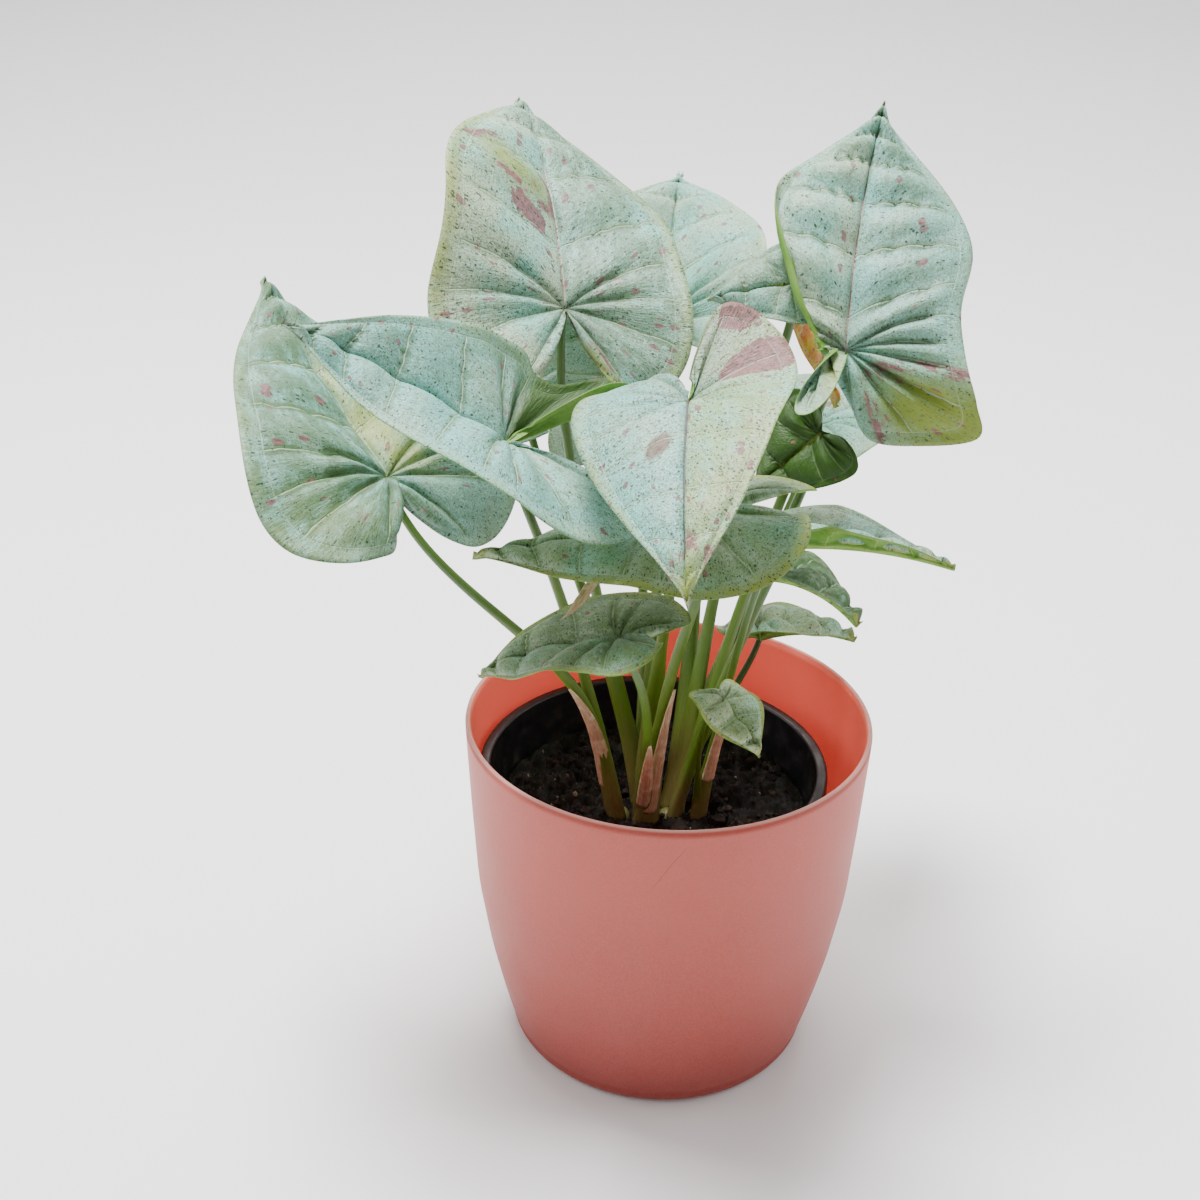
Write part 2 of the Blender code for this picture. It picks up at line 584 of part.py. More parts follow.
def make_plantlet(name, plantlet, leaves, material):
    """Stem with its foot in the soil and one petiole for each of its leaves, joined to one solid."""
    foot, radius = plantlet["foot"], plantlet["radius"]
    heights = np.array([SOIL_TOP - FOOT_DEPTH, SOIL_TOP, SOIL_TOP + 6.0, SOIL_TOP + 9.0])
    path = np.column_stack([np.full(4, foot[0]), np.full(4, foot[1]), heights])
    stem = tube(f"stem_{name}", path, radius * np.array([0.95, 1.0, 0.85, 0.4]), 10, material)
    petioles = new_collection(f"petioles_{name}")
    for leaf_name, leaf in leaves.items():
        curve = petiole_path(leaf, foot, PETIOLE_RINGS)
        radii = np.linspace(leaf["thick"], leaf["thin"], PETIOLE_RINGS)
        tube(f"petiole_{leaf_name}", curve, radii, PETIOLE_SIDES, material, petioles)
    boolean_with(stem, petioles, "UNION", "MANIFOLD")
    shade_round(stem)
    return stem


def sheath_grid(leaf, foot, sheath):
    """Shell round the outer side of a petiole's foot, open at the back and narrowing to a point."""
    path = petiole_path(leaf, foot, 60)
    stations = np.linspace(sheath["start"], sheath["end"], SHEATH_ROWS)
    place = stations * (len(path) - 1)
    centre = np.stack([np.interp(place, np.arange(len(path)), path[:, k]) for k in range(3)], axis=-1)
    way = np.gradient(centre, axis=0)
    way = way / np.linalg.norm(way, axis=1)[:, None]
    facing = math.radians(sheath["facing"])
    out = np.array([math.cos(facing), math.sin(facing), 0.0])
    out = out - way * (way @ out)[:, None]
    out = out / np.linalg.norm(out, axis=1)[:, None]
    side = np.cross(way, out)
    share = np.linspace(0, 1, SHEATH_ROWS)
    stalk = leaf["thick"] + (leaf["thin"] - leaf["thick"]) * stations
    radius = stalk + GAP + SHEATH_THICKNESS / 2 + 0.15 + sheath["flare"] * share**2
    spread = np.radians(sheath["spread"]) * np.sqrt(np.clip(1.02 - share, 0, 1))
    angle = spread[:, None] * np.linspace(-1, 1, SHEATH_COLUMNS)[None, :]
    ring = out[:, None] * np.cos(angle)[..., None] + side[:, None] * np.sin(angle)[..., None]
    return centre[:, None] + ring * radius[:, None, None]


def make_sheath(name, leaf, foot, sheath, material):
    grid = sheath_grid(leaf, foot, sheath)
    rows, columns = grid.shape[:2]
    number = np.arange(rows * columns).reshape(rows, columns)
    triangles = []
    for r in range(rows - 1):
        for c in range(columns - 1):
            a, b, d, e = number[r, c], number[r + 1, c], number[r + 1, c + 1], number[r, c + 1]
            triangles += [(a, e, d), (a, d, b)]
    edge = [*number[0], *number[1:, -1], *number[-1, -2::-1], *number[-2:0:-1, 0]]
    return thin_solid(name, grid, np.array(triangles), edge, SHEATH_THICKNESS, material)


def main():
    clear_scene()
    make_planter()
    make_nursery_pot()
    make_soil()
    leaves = {name: leaf_values(leaf) for name, leaf in LEAVES.items()}
    petiole_green = make_material("petiole_green", (0.13, 0.25, 0.04), 0.45)
    blade_mint = make_material("blade_mint", (0.42, 0.60, 0.50), 0.5)
    for name, plantlet in PLANTLETS.items():
        own = {key: leaf for key, leaf in leaves.items() if leaf["plantlet"] == name}
        make_plantlet(name, plantlet, own, petiole_green)
    for name, leaf in leaves.items():
        make_blade(name, leaf, blade_mint)
    dry = make_material("dry_sheath", (0.55, 0.36, 0.25), 0.8)
    for name, sheath in SHEATHS.items():
        leaf = leaves[sheath["leaf"]]
        make_sheath(name, leaf, PLANTLETS[leaf["plantlet"]]["foot"], sheath, dry)


main()
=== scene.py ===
import math

import bpy
import numpy as np
from bpy.props import FloatProperty, FloatVectorProperty, IntProperty, PointerProperty
from bpy.types import Operator, Panel, PropertyGroup
from mathutils import Matrix, Vector


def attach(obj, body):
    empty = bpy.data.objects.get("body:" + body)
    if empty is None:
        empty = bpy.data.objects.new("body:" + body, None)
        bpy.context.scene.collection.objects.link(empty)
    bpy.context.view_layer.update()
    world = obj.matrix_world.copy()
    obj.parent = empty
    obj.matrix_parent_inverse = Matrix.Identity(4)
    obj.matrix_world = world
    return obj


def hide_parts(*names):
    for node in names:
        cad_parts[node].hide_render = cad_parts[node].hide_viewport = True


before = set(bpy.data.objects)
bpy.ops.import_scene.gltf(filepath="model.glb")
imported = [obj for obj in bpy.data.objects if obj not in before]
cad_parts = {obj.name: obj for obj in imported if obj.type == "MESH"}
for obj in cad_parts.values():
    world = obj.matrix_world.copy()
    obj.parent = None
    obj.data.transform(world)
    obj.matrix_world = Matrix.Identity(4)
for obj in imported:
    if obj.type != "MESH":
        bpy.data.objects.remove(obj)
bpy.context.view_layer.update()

bl_info = {
    "name": "Potted arrowhead plant",
    "version": (1, 0, 0),
    "blender": (4, 5, 0),
    "location": "3D View > Sidebar > Arrowhead",
    "description": "Builds the blades, petioles, soil and pots of an arrowhead plant",
    "category": "Add Mesh",
}

MM = 0.001

# Blade outline from the tip round to the notch at the stalk: share of the length along the
# blade, and share of the half width out from the midrib
OUTLINE = np.array([
    (1.00, 0.00), (0.93, 0.055), (0.80, 0.23), (0.61, 0.50), (0.38, 0.77), (0.14, 0.95), (-0.06, 1.00),
    (-0.24, 0.92), (-0.36, 0.70), (-0.38, 0.46), (-0.32, 0.28), (-0.19, 0.13), (-0.10, 0.05),
])
# Outline of a half whose lobe is square and closes the notch
SQUARE_OUTLINE = np.array([
    (1.00, 0.00), (0.93, 0.055), (0.80, 0.23), (0.61, 0.50), (0.38, 0.72), (0.14, 0.86), (-0.06, 0.94),
    (-0.20, 1.02), (-0.31, 1.06), (-0.35, 0.60), (-0.34, 0.26), (-0.22, 0.10), (-0.12, 0.03),
])

# Share of the length where the side veins begin to leave the midrib and not the junction
FAN_SHARE = 0.30
BLADE_ROWS = 97
BLADE_COLUMNS = 25
# Share of the way to the margin where the vein along the edge runs
EDGE_VEIN = 0.86
# Row where the lobe begins, and how many veins stand there for each one further up
LOBE_ROW = 0.52
LOBE_VEINS = 0.42

# Heights, radii and places of the pots and the soil, in mm
PLANTER_HEIGHT = 136.0
PLANTER_RIM = 75.0
POT_CENTRE = (-5.0, -1.0)
POT_BASE = 3.3
POT_FOOT = 44.0
POT_NECK = 61.3
SOIL_TOP = 98.0
SOIL_FLOOR = 60.0
SOIL_RADIUS = 58.6
CRUMB_REACH = 53

# Feet of the plantlets in the soil, in mm
PLANTLETS = {
    "left": dict(foot=(-17.5, -11.0), radius=4.3),
    "front": dict(foot=(-8.2, -15.0), radius=4.3),
    "right": dict(foot=(1.2, -10.5), radius=4.3),
    "back": dict(foot=(-7.5, -4.5), radius=4.3),
    "sprout": dict(foot=(11.0, -11.0), radius=3.2),
}

# Shape and look that every blade starts from. Patches are (kind, side, row, column, row reach,
# column reach, strength); a row runs from 0 at the tip to 1 at the notch, a column from 0 at the
# midrib to 1 at the margin.
# A blade's darker ground, set per half, is partly its own darker green and partly painted shade where the
# blade hangs in shadow.
COMMON = dict(
    outline_left=OUTLINE, outline_right=OUTLINE, lobe=1.0, droop=20, sweep=0, twist=0, wide_left=1.0,
    wide_right=1.0, blunt=0.0, fold_left=(12, 12, 12), fold_right=(12, 12, 12),
    curl_left=(-15, -15, -15), curl_right=(-15, -15, -15), wave=10, waves=2.5, phase=0.0, rolls_left=(),
    rolls_right=(), trims_left=(), trims_right=(), rise=60, lean=12, spring=0.9, arrive=0.7,
    bend=(0, 0), thick=2.5, thin=1.35, veins=13, quilt=1.2, sage=0.5, warm=0.3, pink=0.5, green=0.0,
    yellow=0.0, speckled=0.6, rosy_rib=0.6, darker_green_and_shade=0.15, blue=(0.4, 0.4), patches=(),
)

LEAVES = {
    "leaf_top_left": dict(
        plantlet="back", at=(-40, 18, 284), heading=98, pitch=52, roll=16, length=101, width=98,
        lobe=0.92, droop=40, twist=32, wide_left=1.04, wide_right=0.88, blunt=0.35,
        fold_left=(8, 16, 14), fold_right=(16, 22, 14), curl_left=(-35, -10, 5),
        curl_right=(-15, -5, -5), rise=35, sage=0.6, warm=0.55, pink=0.8, speckled=0.9, rosy_rib=0.5,
        darker_green_and_shade=(0.0, 0.5), blue=(0.0, 0.45),
        patches=(
            ("olive", 1, 0.27, 0.45, 0.022, 0.4, 1.0), ("pink", 1, 0.31, 0.3, 0.012, 0.2, 1.0),
            ("olive", 1, 0.94, 0.6, 0.05, 0.5, 1.1), ("warm", 1, 0.35, 1.0, 0.3, 0.12, 0.8),
            ("olive", -1, 0.88, 0.97, 0.11, 0.14, 1.0), ("maroon", -1, 0.985, 0.5, 0.018, 0.4, 0.9),
            ("pink", -1, 0.79, 0.6, 0.025, 0.22, 0.9), ("warm", -1, 0.84, 0.9, 0.07, 0.3, 0.8),
        )),
    "leaf_top_back": dict(
        plantlet="back", at=(-5, 50, 269), heading=86, pitch=36, roll=-6, length=86, width=94, droop=22,
        twist=12, fold_left=(22, 20, 15), fold_right=(20, 30, 30), curl_left=(0, -3, -10),
        curl_right=(-3, 10, 15), rise=50, quilt=1.3, sage=0.7, pink=0.2, speckled=0.3, darker_green_and_shade=0.1,
        blue=(0.35, 0.35)),
    "leaf_top_right": dict(
        plantlet="right", at=(52, -8, 280), heading=83, pitch=62, roll=8, length=91, width=84,
        outline_right=SQUARE_OUTLINE, lobe=0.92, droop=28, sweep=-14, wide_left=0.92, blunt=0.45,
        fold_left=(2, 5, 45), fold_right=(8, 10, -10), curl_left=(-20, -5, 50),
        curl_right=(-10, 10, -20), rolls_left=((0.22, 0.62, 0.9, 0.35, 200),),
        rolls_right=((0.12, 0.5, 0.92, 0.8, -130),), trims_left=((0.5, 0.18, 0.56),), rise=70,
        arrive=0.5, bend=(0, 8), veins=18, quilt=2.3, sage=1.0, pink=0.3, speckled=0.4, rosy_rib=0.7,
        darker_green_and_shade=0.1, blue=(0.1, 0.7),
        patches=(
            ("olive", -1, 0.66, 0.85, 0.13, 0.55, 1.3), ("warm", 1, 0.9, 0.6, 0.1, 0.6, 0.7),
            ("pink", -1, 0.55, 0.42, 0.014, 0.1, 0.8),
        )),
    "leaf_left": dict(
        plantlet="left", at=(-97, -22, 238), heading=136, pitch=34, roll=14, length=90, width=104,
        lobe=0.9, droop=0, sweep=-10, twist=6, wide_left=1.1, wide_right=0.96, fold_left=(4, 8, 8),
        fold_right=(12, 16, -4), curl_left=(-24, -18, -20), curl_right=(-15, -12, -40), rise=24,
        arrive=1.1, bend=(15, 3), quilt=1.5, sage=1.2, pink=0.25, speckled=0.5, rosy_rib=0.0,
        darker_green_and_shade=(0.7, 0.25), blue=(0.75, 0.75),
        patches=(
            ("warm", -1, 0.35, 0.15, 0.18, 0.2, 0.9), ("warm", 1, 0.62, 0.8, 0.12, 0.4, 0.25),
        )),
    "leaf_left_front": dict(
        plantlet="left", at=(-57, -44, 259), heading=190, pitch=37, roll=5, length=78, width=82,
        lobe=1.5, droop=8, sweep=5, twist=-30, wide_right=0.9, fold_left=(8, 8, 24),
        fold_right=(27, 33, 50), curl_left=(-20, -25, 4), curl_right=(9, 18, 40),
        trims_right=((0.52, 0.06, 0.22),), rise=35, bend=(0, 10), sage=0.8, pink=0.3, speckled=0.5,
        rosy_rib=0.9, darker_green_and_shade=(0.0, 0.3), blue=(0.8, 0.8),
        patches=(
            ("sage", -1, 0.4, 0.85, 0.08, 0.15, 0.8), ("leafy", -1, 0.74, 0.5, 0.26, 2.0, 2.2),
        )),
    "leaf_under": dict(
        plantlet="front", at=(5, -51, 239), heading=170, pitch=-18, roll=-22, length=74, width=74,
        lobe=1.3, droop=-18, sweep=15, wide_right=0.42, fold_right=(9, 6, 8),
        curl_right=(-20, -25, -22), rise=85, bend=(-6, 0), sage=0.9, warm=0.9, pink=0.1, green=0.15,
        rosy_rib=0.1, darker_green_and_shade=0.2, blue=(0.15, 0.15)),
    "leaf_front": dict(
        plantlet="back", at=(-1, -60, 280), heading=265, pitch=-8, roll=12, length=80, width=72,
        lobe=1.05, droop=32, twist=8, wide_left=0.92, fold_left=(7, 14, 35), fold_right=(15, 7, 6),
        curl_left=(-22, -12, 20), curl_right=(-10, -25, -26), rise=35, lean=-8, quilt=0.8, sage=0.3,
        warm=0.6, pink=0.6, speckled=1.0, rosy_rib=1.0, darker_green_and_shade=0.05, blue=(0.0, 0.7),
        patches=(
            ("pink", 1, 0.565, 0.66, 0.06, 0.36, 1.2), ("pink", 1, 0.71, 0.92, 0.06, 0.2, 1.2),
            ("olive", 1, 0.0, 0.5, 0.15, 0.9, 1.3), ("olive", -1, 0.0, 0.5, 0.12, 0.9, 1.3),
            ("warm", 1, 0.3, 0.6, 0.3, 0.6, 0.6), ("maroon", -1, 0.31, 0.3, 0.02, 0.16, 1.0),
        )),
    "leaf_right_low": dict(
        plantlet="right", at=(37, -17, 214), heading=-8, pitch=8, roll=0, length=57, width=52, lobe=0.8,
        droop=24, wide_left=0.85, wide_right=0.6, fold_left=(14, 16, 12), fold_right=(34, 40, 46),
        curl_left=(-10, -10, -10), curl_right=(-5, -5, -5), sage=0.1, pink=0.1, speckled=0.2,
        rosy_rib=0.0, darker_green_and_shade=0.0, blue=(0.0, 0.0)),
    "leaf_small_upper": dict(
        plantlet="sprout", at=(26.5, -38, 212), heading=-30, pitch=16, roll=-8, length=38, width=42,
        lobe=0.8, droop=55, wide_left=0.85, fold_left=(22, 22, 18), fold_right=(30, 30, 30),
        bend=(1, 5), thick=1.8, thin=1.1, veins=10, quilt=2.0, sage=0.8, pink=0.1, green=0.45,
        speckled=0.4, rosy_rib=0.0, darker_green_and_shade=0.9, blue=(0.2, 0.2)),
    "leaf_small_lower": dict(
        plantlet="right", at=(35, 29.5, 153), heading=8, pitch=14, roll=-10, length=38, width=46,
        droop=36, twist=15, wide_right=0.8, fold_left=(20, 14, 14), fold_right=(20, 30, 28), thick=1.8,
        thin=1.1, veins=10, quilt=2.0, sage=0.8, warm=1.2, pink=0.1, speckled=0.4, rosy_rib=0.0,
        darker_green_and_shade=0.0, blue=(0.0, 0.0)),
    "leaf_low_left": dict(
        plantlet="front", at=(-20, -62, 199), heading=160, pitch=-11, roll=2, length=54, width=52,
        droop=28, twist=-22, wide_right=0.9, fold_left=(7, 14, 20), fold_right=(26, 20, 10),
        curl_right=(5, -6, -20), thick=2.0, thin=1.2, veins=10, sage=0.9, warm=1.0, pink=0.3,
        green=0.35, speckled=0.8, rosy_rib=0.2, darker_green_and_shade=0.55, blue=(0.1, 0.1)),
    "leaf_sprout": dict(
        plantlet="sprout", at=(16, -44, 168), heading=-50, pitch=-25, roll=-10, length=23, width=30,
        lobe=0.85, droop=16, twist=15, fold_left=(10, 8, 5), fold_right=(4, 12, 5), rise=70, thick=1.1,
        thin=0.8, veins=7, sage=0.9, warm=1.6, pink=0.0, speckled=0.7, rosy_rib=0.0, darker_green_and_shade=0.0,
        blue=(0.0, 0.0)),
    # This blade's plain dark green is partly painted shade: it hangs in shadow under the blades above.
    "leaf_shaded": dict(
        plantlet="right", at=(46, -9, 251), heading=178, pitch=-45, roll=-60, length=31, width=36,
        lobe=0.5, droop=0, wave=4, rise=80, arrive=0.3, bend=(2, 12), veins=9, sage=0.3, pink=0.0,
        green=1.0, speckled=0.1, rosy_rib=0.0),
    "leaf_green_back": dict(
        plantlet="right", at=(36, 14, 295), heading=186, pitch=-8, roll=-48, length=29, width=30,
        lobe=0.5, droop=10, arrive=0.35, bend=(-6, 4), veins=9, sage=0.3, pink=0.0, green=0.2,
        speckled=0.3, rosy_rib=0.0),
    "leaf_yellowing": dict(
        plantlet="right", at=(40, 37, 284), heading=-25, pitch=-62, roll=0, length=42, width=38,
        lobe=0.5, droop=5, wide_right=0.85, arrive=0.5, bend=(0, 8), veins=9, pink=0.2, yellow=1.0,
        speckled=0.3, rosy_rib=0.0),
    "leaf_back_left": dict(
        plantlet="back", at=(-56, 55, 240), heading=140, pitch=20, roll=0, length=70, width=74,
        droop=35, sage=0.6, pink=0.3, green=0.15),
    "leaf_back_right": dict(
        plantlet="right", at=(58, 80, 220), heading=40, pitch=15, roll=0, length=66, width=70, droop=40,
        sage=0.6, pink=0.4, green=0.2),
    "leaf_back_middle": dict(
        plantlet="back", at=(-12, 78, 212), heading=96, pitch=5, roll=0, length=68, width=72, droop=40,
        sage=0.7, pink=0.3, green=0.1, speckled=0.7),
}

# Kinds of coloured patch that a blade's entry may place one by one
PATCH_KINDS = ("olive", "pink", "warm", "sage", "maroon", "leafy")

# Path of the withered shoot between the front blades, in mm. It touches none of them.
DRY_SHOOT = ((-23.0, -30.0, 210.0), (-28.7, -50.0, 214.0), (-33.7, -67.0, 215.0), (-38.2, -76.0, 214.5))

# How far down its petiole a sheath goes on below the part that shows, as a share of the petiole
SHEATH_TAIL = 0.16

SHEATHS = {
    "sheath_left": dict(leaf="leaf_left", start=0.27, end=0.46, facing=-95, spread=75, flare=1.2),
    "sheath_front": dict(leaf="leaf_low_left", start=0.28, end=0.50, facing=-80, spread=75, flare=1.2),
    "sheath_middle": dict(leaf="leaf_under", start=0.22, end=0.46, facing=-60, spread=70, flare=1.0),
    "sheath_right": dict(leaf="leaf_small_upper", start=0.34, end=0.56, facing=-60, spread=75, flare=1.0),
}

# Tints that no setting changes
TINTS = dict(
    pale_stipple=(0.50, 0.76, 0.70), dark_stipple=(0.085, 0.16, 0.085), warm_green=(0.30, 0.35, 0.075),
    fresh_green=(0.034, 0.095, 0.006), rust=(0.42, 0.13, 0.004), rose=(0.26, 0.080, 0.105),
    maroon=(0.14, 0.055, 0.04), green_rib=(0.27, 0.31, 0.06), pale_rib=(0.46, 0.36, 0.30),
    dark_rib=(0.075, 0.045, 0.055), speck=(0.025, 0.045, 0.028), lime=(0.17, 0.31, 0.06),
    deep_green=(0.06, 0.13, 0.035), under_vein=(0.30, 0.46, 0.10), under_speck=(0.06, 0.10, 0.03),
    stalk_streak=(0.17, 0.25, 0.03), stalk_blush=(0.20, 0.085, 0.045), paper_streak=(0.48, 0.25, 0.14),
    # The lower coral is painted shade towards the planter's foot.
    paper_fleck=(0.88, 0.74, 0.56), chalky_coral=(0.56, 0.15, 0.115), painted_shade_coral=(0.25, 0.028, 0.020),
    # The pale rim coral is a painted highlight along the top of the rim.
    pale_grain=(0.58, 0.22, 0.17), scratch=(0.12, 0.015, 0.010), painted_rim_highlight=(0.84, 0.58, 0.53),
    # The glow is painted light shining through the planter's wall.
    painted_glow=(1.0, 0.14, 0.09), pot_dust=(0.045, 0.036, 0.030), soil_fleck=(0.32, 0.24, 0.18),
    pale_crumb=(0.36, 0.28, 0.21),
)

# Dark specks of a blade: scale of their cells, size, share of the cells that hold one, strength.
# The last kind is drawn out along the side veins.
SPECKS = (
    (58.0, 0.24, 0.42, 0.9), (110.0, 0.30, 0.70, 0.8), (190.0, 0.36, 0.60, 0.7), (2.4, 0.30, 0.75, 0.9))

LEAF_SHINE = {"Specular IOR Level": 0.35}

# Name, setting of its power, size, place and aim of each light, in metres
LIGHTS = (
    ("key_light", "key_power", 0.5, (-0.30, 0.10, 1.75), (0, 0, 0.2)),
    ("left_light", "fill_power", 1.0, (-1.4, 0.1, 0.8), (0, 0, 0.15)),
    ("right_light", "fill_power", 1.0, (1.4, 0.3, 0.8), (0, 0, 0.15)),
    ("floor_light", "floor_power", 2.4, (0.0, 2.2, 2.6), (0, 1.6, 0)),
)
AIR_STRENGTH = 0.55

# Camera: place in metres, tilt and roll in degrees, lens and sensor in mm
CAMERA_PLACE = (-0.0261, -0.5146, 0.4473)
CAMERA_TILT = 62.8
CAMERA_ROLL = 1.1
CAMERA_LENS = 48.69
CAMERA_SENSOR = 36.0


# Settings


def colour_property(name, description, default):
    return FloatVectorProperty(
        name=name, description=description, default=default, size=3, min=0.0, max=1.0, subtype="COLOR")


def length_property(name, description, default, least=0.0):
    return FloatProperty(name=name, description=description, default=default, min=least, unit="LENGTH")


def power_property(name, description, default):
    return FloatProperty(name=name, description=description + ", in watts", default=default, min=0.0)


class PlanterSettings(PropertyGroup):
    rim_radius: length_property("Rim radius", "Outer radius at the rim", 0.075, 0.02)
    height: length_property("Height", "Height of the planter", 0.136, 0.02)
    wall: length_property("Wall", "Thickness of the wall", 0.002, 0.0005)
    colour: colour_property("Colour", "Outside of the planter", (0.42, 0.062, 0.044))
    # The inner colour is a brighter copy of the outside: painted light shining through the wall.
    lit_inner_colour: colour_property("Inner colour", "Inside of the planter", (0.95, 0.20, 0.15))


class PotSettings(PropertyGroup):
    lip_radius: length_property("Lip radius", "Outer radius of the nursery pot's lip", 0.065, 0.02)
    height: length_property("Height", "Height of the nursery pot", 0.1127, 0.02)
    colour: colour_property("Colour", "Nursery pot", (0.012, 0.013, 0.016))


class SoilSettings(PropertyGroup):
    crumbs: IntProperty(
        name="Crumbs", description="Loose crumbs on the soil", default=1100, min=0, max=2000)
    lump: length_property("Lump height", "Height of the soil's lumps", 0.0024)
    colour: colour_property("Colour", "Moist soil", (0.007, 0.0035, 0.002))
    dry_colour: colour_property("Dry colour", "Dry crumbs and fibres", (0.036, 0.020, 0.012))


class BladeSettings(PropertyGroup):
    thickness: length_property("Thickness", "Thickness of a blade", 0.0006, 0.0002)
    quilt: length_property("Quilting", "Height of the swelling between side veins", 0.0024)
    mint: colour_property("Mint", "Pale green ground of a blade", (0.23, 0.55, 0.46))
    # This bluer colour is partly the blades' own tone and partly a painted reflection of a blue sky.
    blue_mint_and_sky: colour_property("Blue mint", "Bluer ground of a blade", (0.145, 0.44, 0.42))
    cream: colour_property("Cream", "Warmer pale ground of a blade", (0.44, 0.48, 0.31))
    # This darker colour is partly the blades' own darker green and partly painted shade on blades that hang
    # in shadow.
    darker_green_and_shade: colour_property("Dusk", "Darker ground of some blades", (0.080, 0.150, 0.070))
    sage: colour_property("Sage", "Green fields between side veins", (0.075, 0.155, 0.065))
    olive: colour_property("Olive", "Yellow-green tips and lobes", (0.19, 0.25, 0.028))
    pink: colour_property("Pink", "Pink patches", (0.15, 0.038, 0.050))
    leaf_green: colour_property("Leaf green", "Plain green blades", (0.018, 0.052, 0.002))
    yellow: colour_property("Yellow", "Yellowing blade", (0.46, 0.27, 0.006))
    underside: colour_property("Underside", "Lower face of a blade", (0.085, 0.23, 0.012))
    vein: colour_property("Vein", "Pale veins", (0.44, 0.55, 0.38))


class StalkSettings(PropertyGroup):
    base_colour: colour_property("Foot", "Petioles at the soil", (0.24, 0.20, 0.065))
    middle_colour: colour_property("Middle", "Petioles above the sheath", (0.085, 0.165, 0.010))
    top_colour: colour_property("Top", "Petioles under the blades", (0.040, 0.100, 0.008))
    dry_colour: colour_property("Dry sheath", "Papery dry sheaths", (0.80, 0.60, 0.38))


class StageSettings(PropertyGroup):
    floor_colour: colour_property("Floor", "Floor and backdrop", (0.92, 0.92, 0.915))
    key_power: power_property("Key light", "Power of the main soft light", 64.0)
    floor_power: power_property("Floor light", "Power of the light over the floor", 90.0)
    fill_power: power_property("Side lights", "Power of each side light", 8.0)


# Meshes


def new_piece(name, points, triangles, materials=(), material_index=None):
    """Object from points in mm and triangles, at the origin, shaded smooth."""
    mesh = bpy.data.meshes.new(name)
    points = np.asarray(points, np.float32) * MM
    triangles = np.asarray(triangles, np.int32)
    mesh.vertices.add(len(points))
    mesh.vertices.foreach_set("co", points.ravel())
    mesh.loops.add(triangles.size)
    mesh.loops.foreach_set("vertex_index", triangles.ravel())
    mesh.polygons.add(len(triangles))
    mesh.polygons.foreach_set("loop_start", np.arange(0, triangles.size, 3, dtype=np.int32))
    for material in materials:
        mesh.materials.append(material)
    if material_index is not None:
        mesh.polygons.foreach_set("material_index", np.asarray(material_index, np.int32))
    mesh.update(calc_edges=True)
    mesh.validate()
    mesh.shade_smooth()
    piece = bpy.data.objects.new(name, mesh)
    bpy.context.scene.collection.objects.link(piece)
    return piece


def add_map(piece, name, values):
    """UV map whose value at each corner is the value of its vertex."""
    mesh = piece.data
    corners = np.empty(len(mesh.loops), np.int32)
    mesh.loops.foreach_get("vertex_index", corners)
    layer = mesh.uv_layers.new(name=name)
    layer.uv.foreach_set("vector", np.asarray(values, np.float32)[corners].ravel())


def add_share(piece, name, values):
    """Number at each vertex, for the material to read."""
    layer = piece.data.attributes.new(name, "FLOAT", "POINT")
    layer.data.foreach_set("value", np.asarray(values, np.float32).ravel())


def finish_piece(piece, slot, *nodes):
    """Let the piece ride on the plant and hide the solids it stands for; its slot is not used."""
    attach(piece, "root")
    if nodes:
        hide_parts(*nodes)


def smooth_path(points, share):
    """Catmull-Rom curve through the points: share runs from 0 at the first to 1 at the last."""
    points = np.asarray(points, float)
    share = np.asarray(share, float)
    spans = len(points) - 1
    padded = np.concatenate([[2 * points[0] - points[1]], points, [2 * points[-1] - points[-2]]])
    place = np.clip(share, 0, 1) * spans
    index = np.minimum(place.astype(int), spans - 1)
    f = place - index
    if points.ndim > 1:
        f = f[..., None]
    a, b, c, d = (padded[index + step] for step in range(4))
    return 0.5 * (2 * b + (c - a) * f + (2 * a - 5 * b + 4 * c - d) * f**2 + (3 * b - a - 3 * c + d) * f**3)


def lattice_noise(x, y, seed):
    """Smooth noise from -1 to 1: random values on a unit lattice, blended by a cubic step."""
    table = np.random.default_rng(seed).uniform(-1, 1, (64, 64))
    x0, y0 = np.floor(x).astype(int), np.floor(y).astype(int)
    fx, fy = x - x0, y - y0
    fx, fy = fx * fx * (3 - 2 * fx), fy * fy * (3 - 2 * fy)

    def corner(i, j):
        return table[(x0 + i) % 64, (y0 + j) % 64]

    low = corner(0, 0) * (1 - fx) + corner(1, 0) * fx
    high = corner(0, 1) * (1 - fx) + corner(1, 1) * fx
    return low * (1 - fy) + high * fy


def layered_noise(x, y, seed, layers=4):
    """Sum of lattice noises, each at twice the frequency and half the height of the last."""
    return sum(lattice_noise(x * 2**k, y * 2**k, seed + k) / 2**k for k in range(layers))


def circle(sides):
    """Angles of the corners of a ring, from 0 to just short of a full turn."""
    return np.linspace(0, 2 * np.pi, sides, endpoint=False)


def grid_triangles(rows, columns, closed=False, flip=False):
    """Triangles of a grid of points numbered row by row; closed joins the last column to the first."""
    number = np.arange(rows * columns).reshape(rows, columns)
    if closed:
        number = np.hstack([number, number[:, :1]])
    a, b, c, d = number[:-1, :-1], number[1:, :-1], number[1:, 1:], number[:-1, 1:]
    first = np.stack([a, b, c], axis=-1).reshape(-1, 3)
    second = np.stack([a, c, d], axis=-1).reshape(-1, 3)
    triangles = np.concatenate([first, second])
    return triangles[:, ::-1] if flip else triangles


def capped_rings(rings, sides):
    """Triangles of stacked rings of points, each end closed to one more point after the rings."""
    k = np.arange(sides)
    after = (k + 1) % sides
    low, last = rings * sides, (rings - 1) * sides
    return np.concatenate([
        grid_triangles(rings, sides, closed=True, flip=True),
        np.column_stack([np.full(sides, low), after, k]),
        np.column_stack([np.full(sides, low + 1), last + k, last + after])])


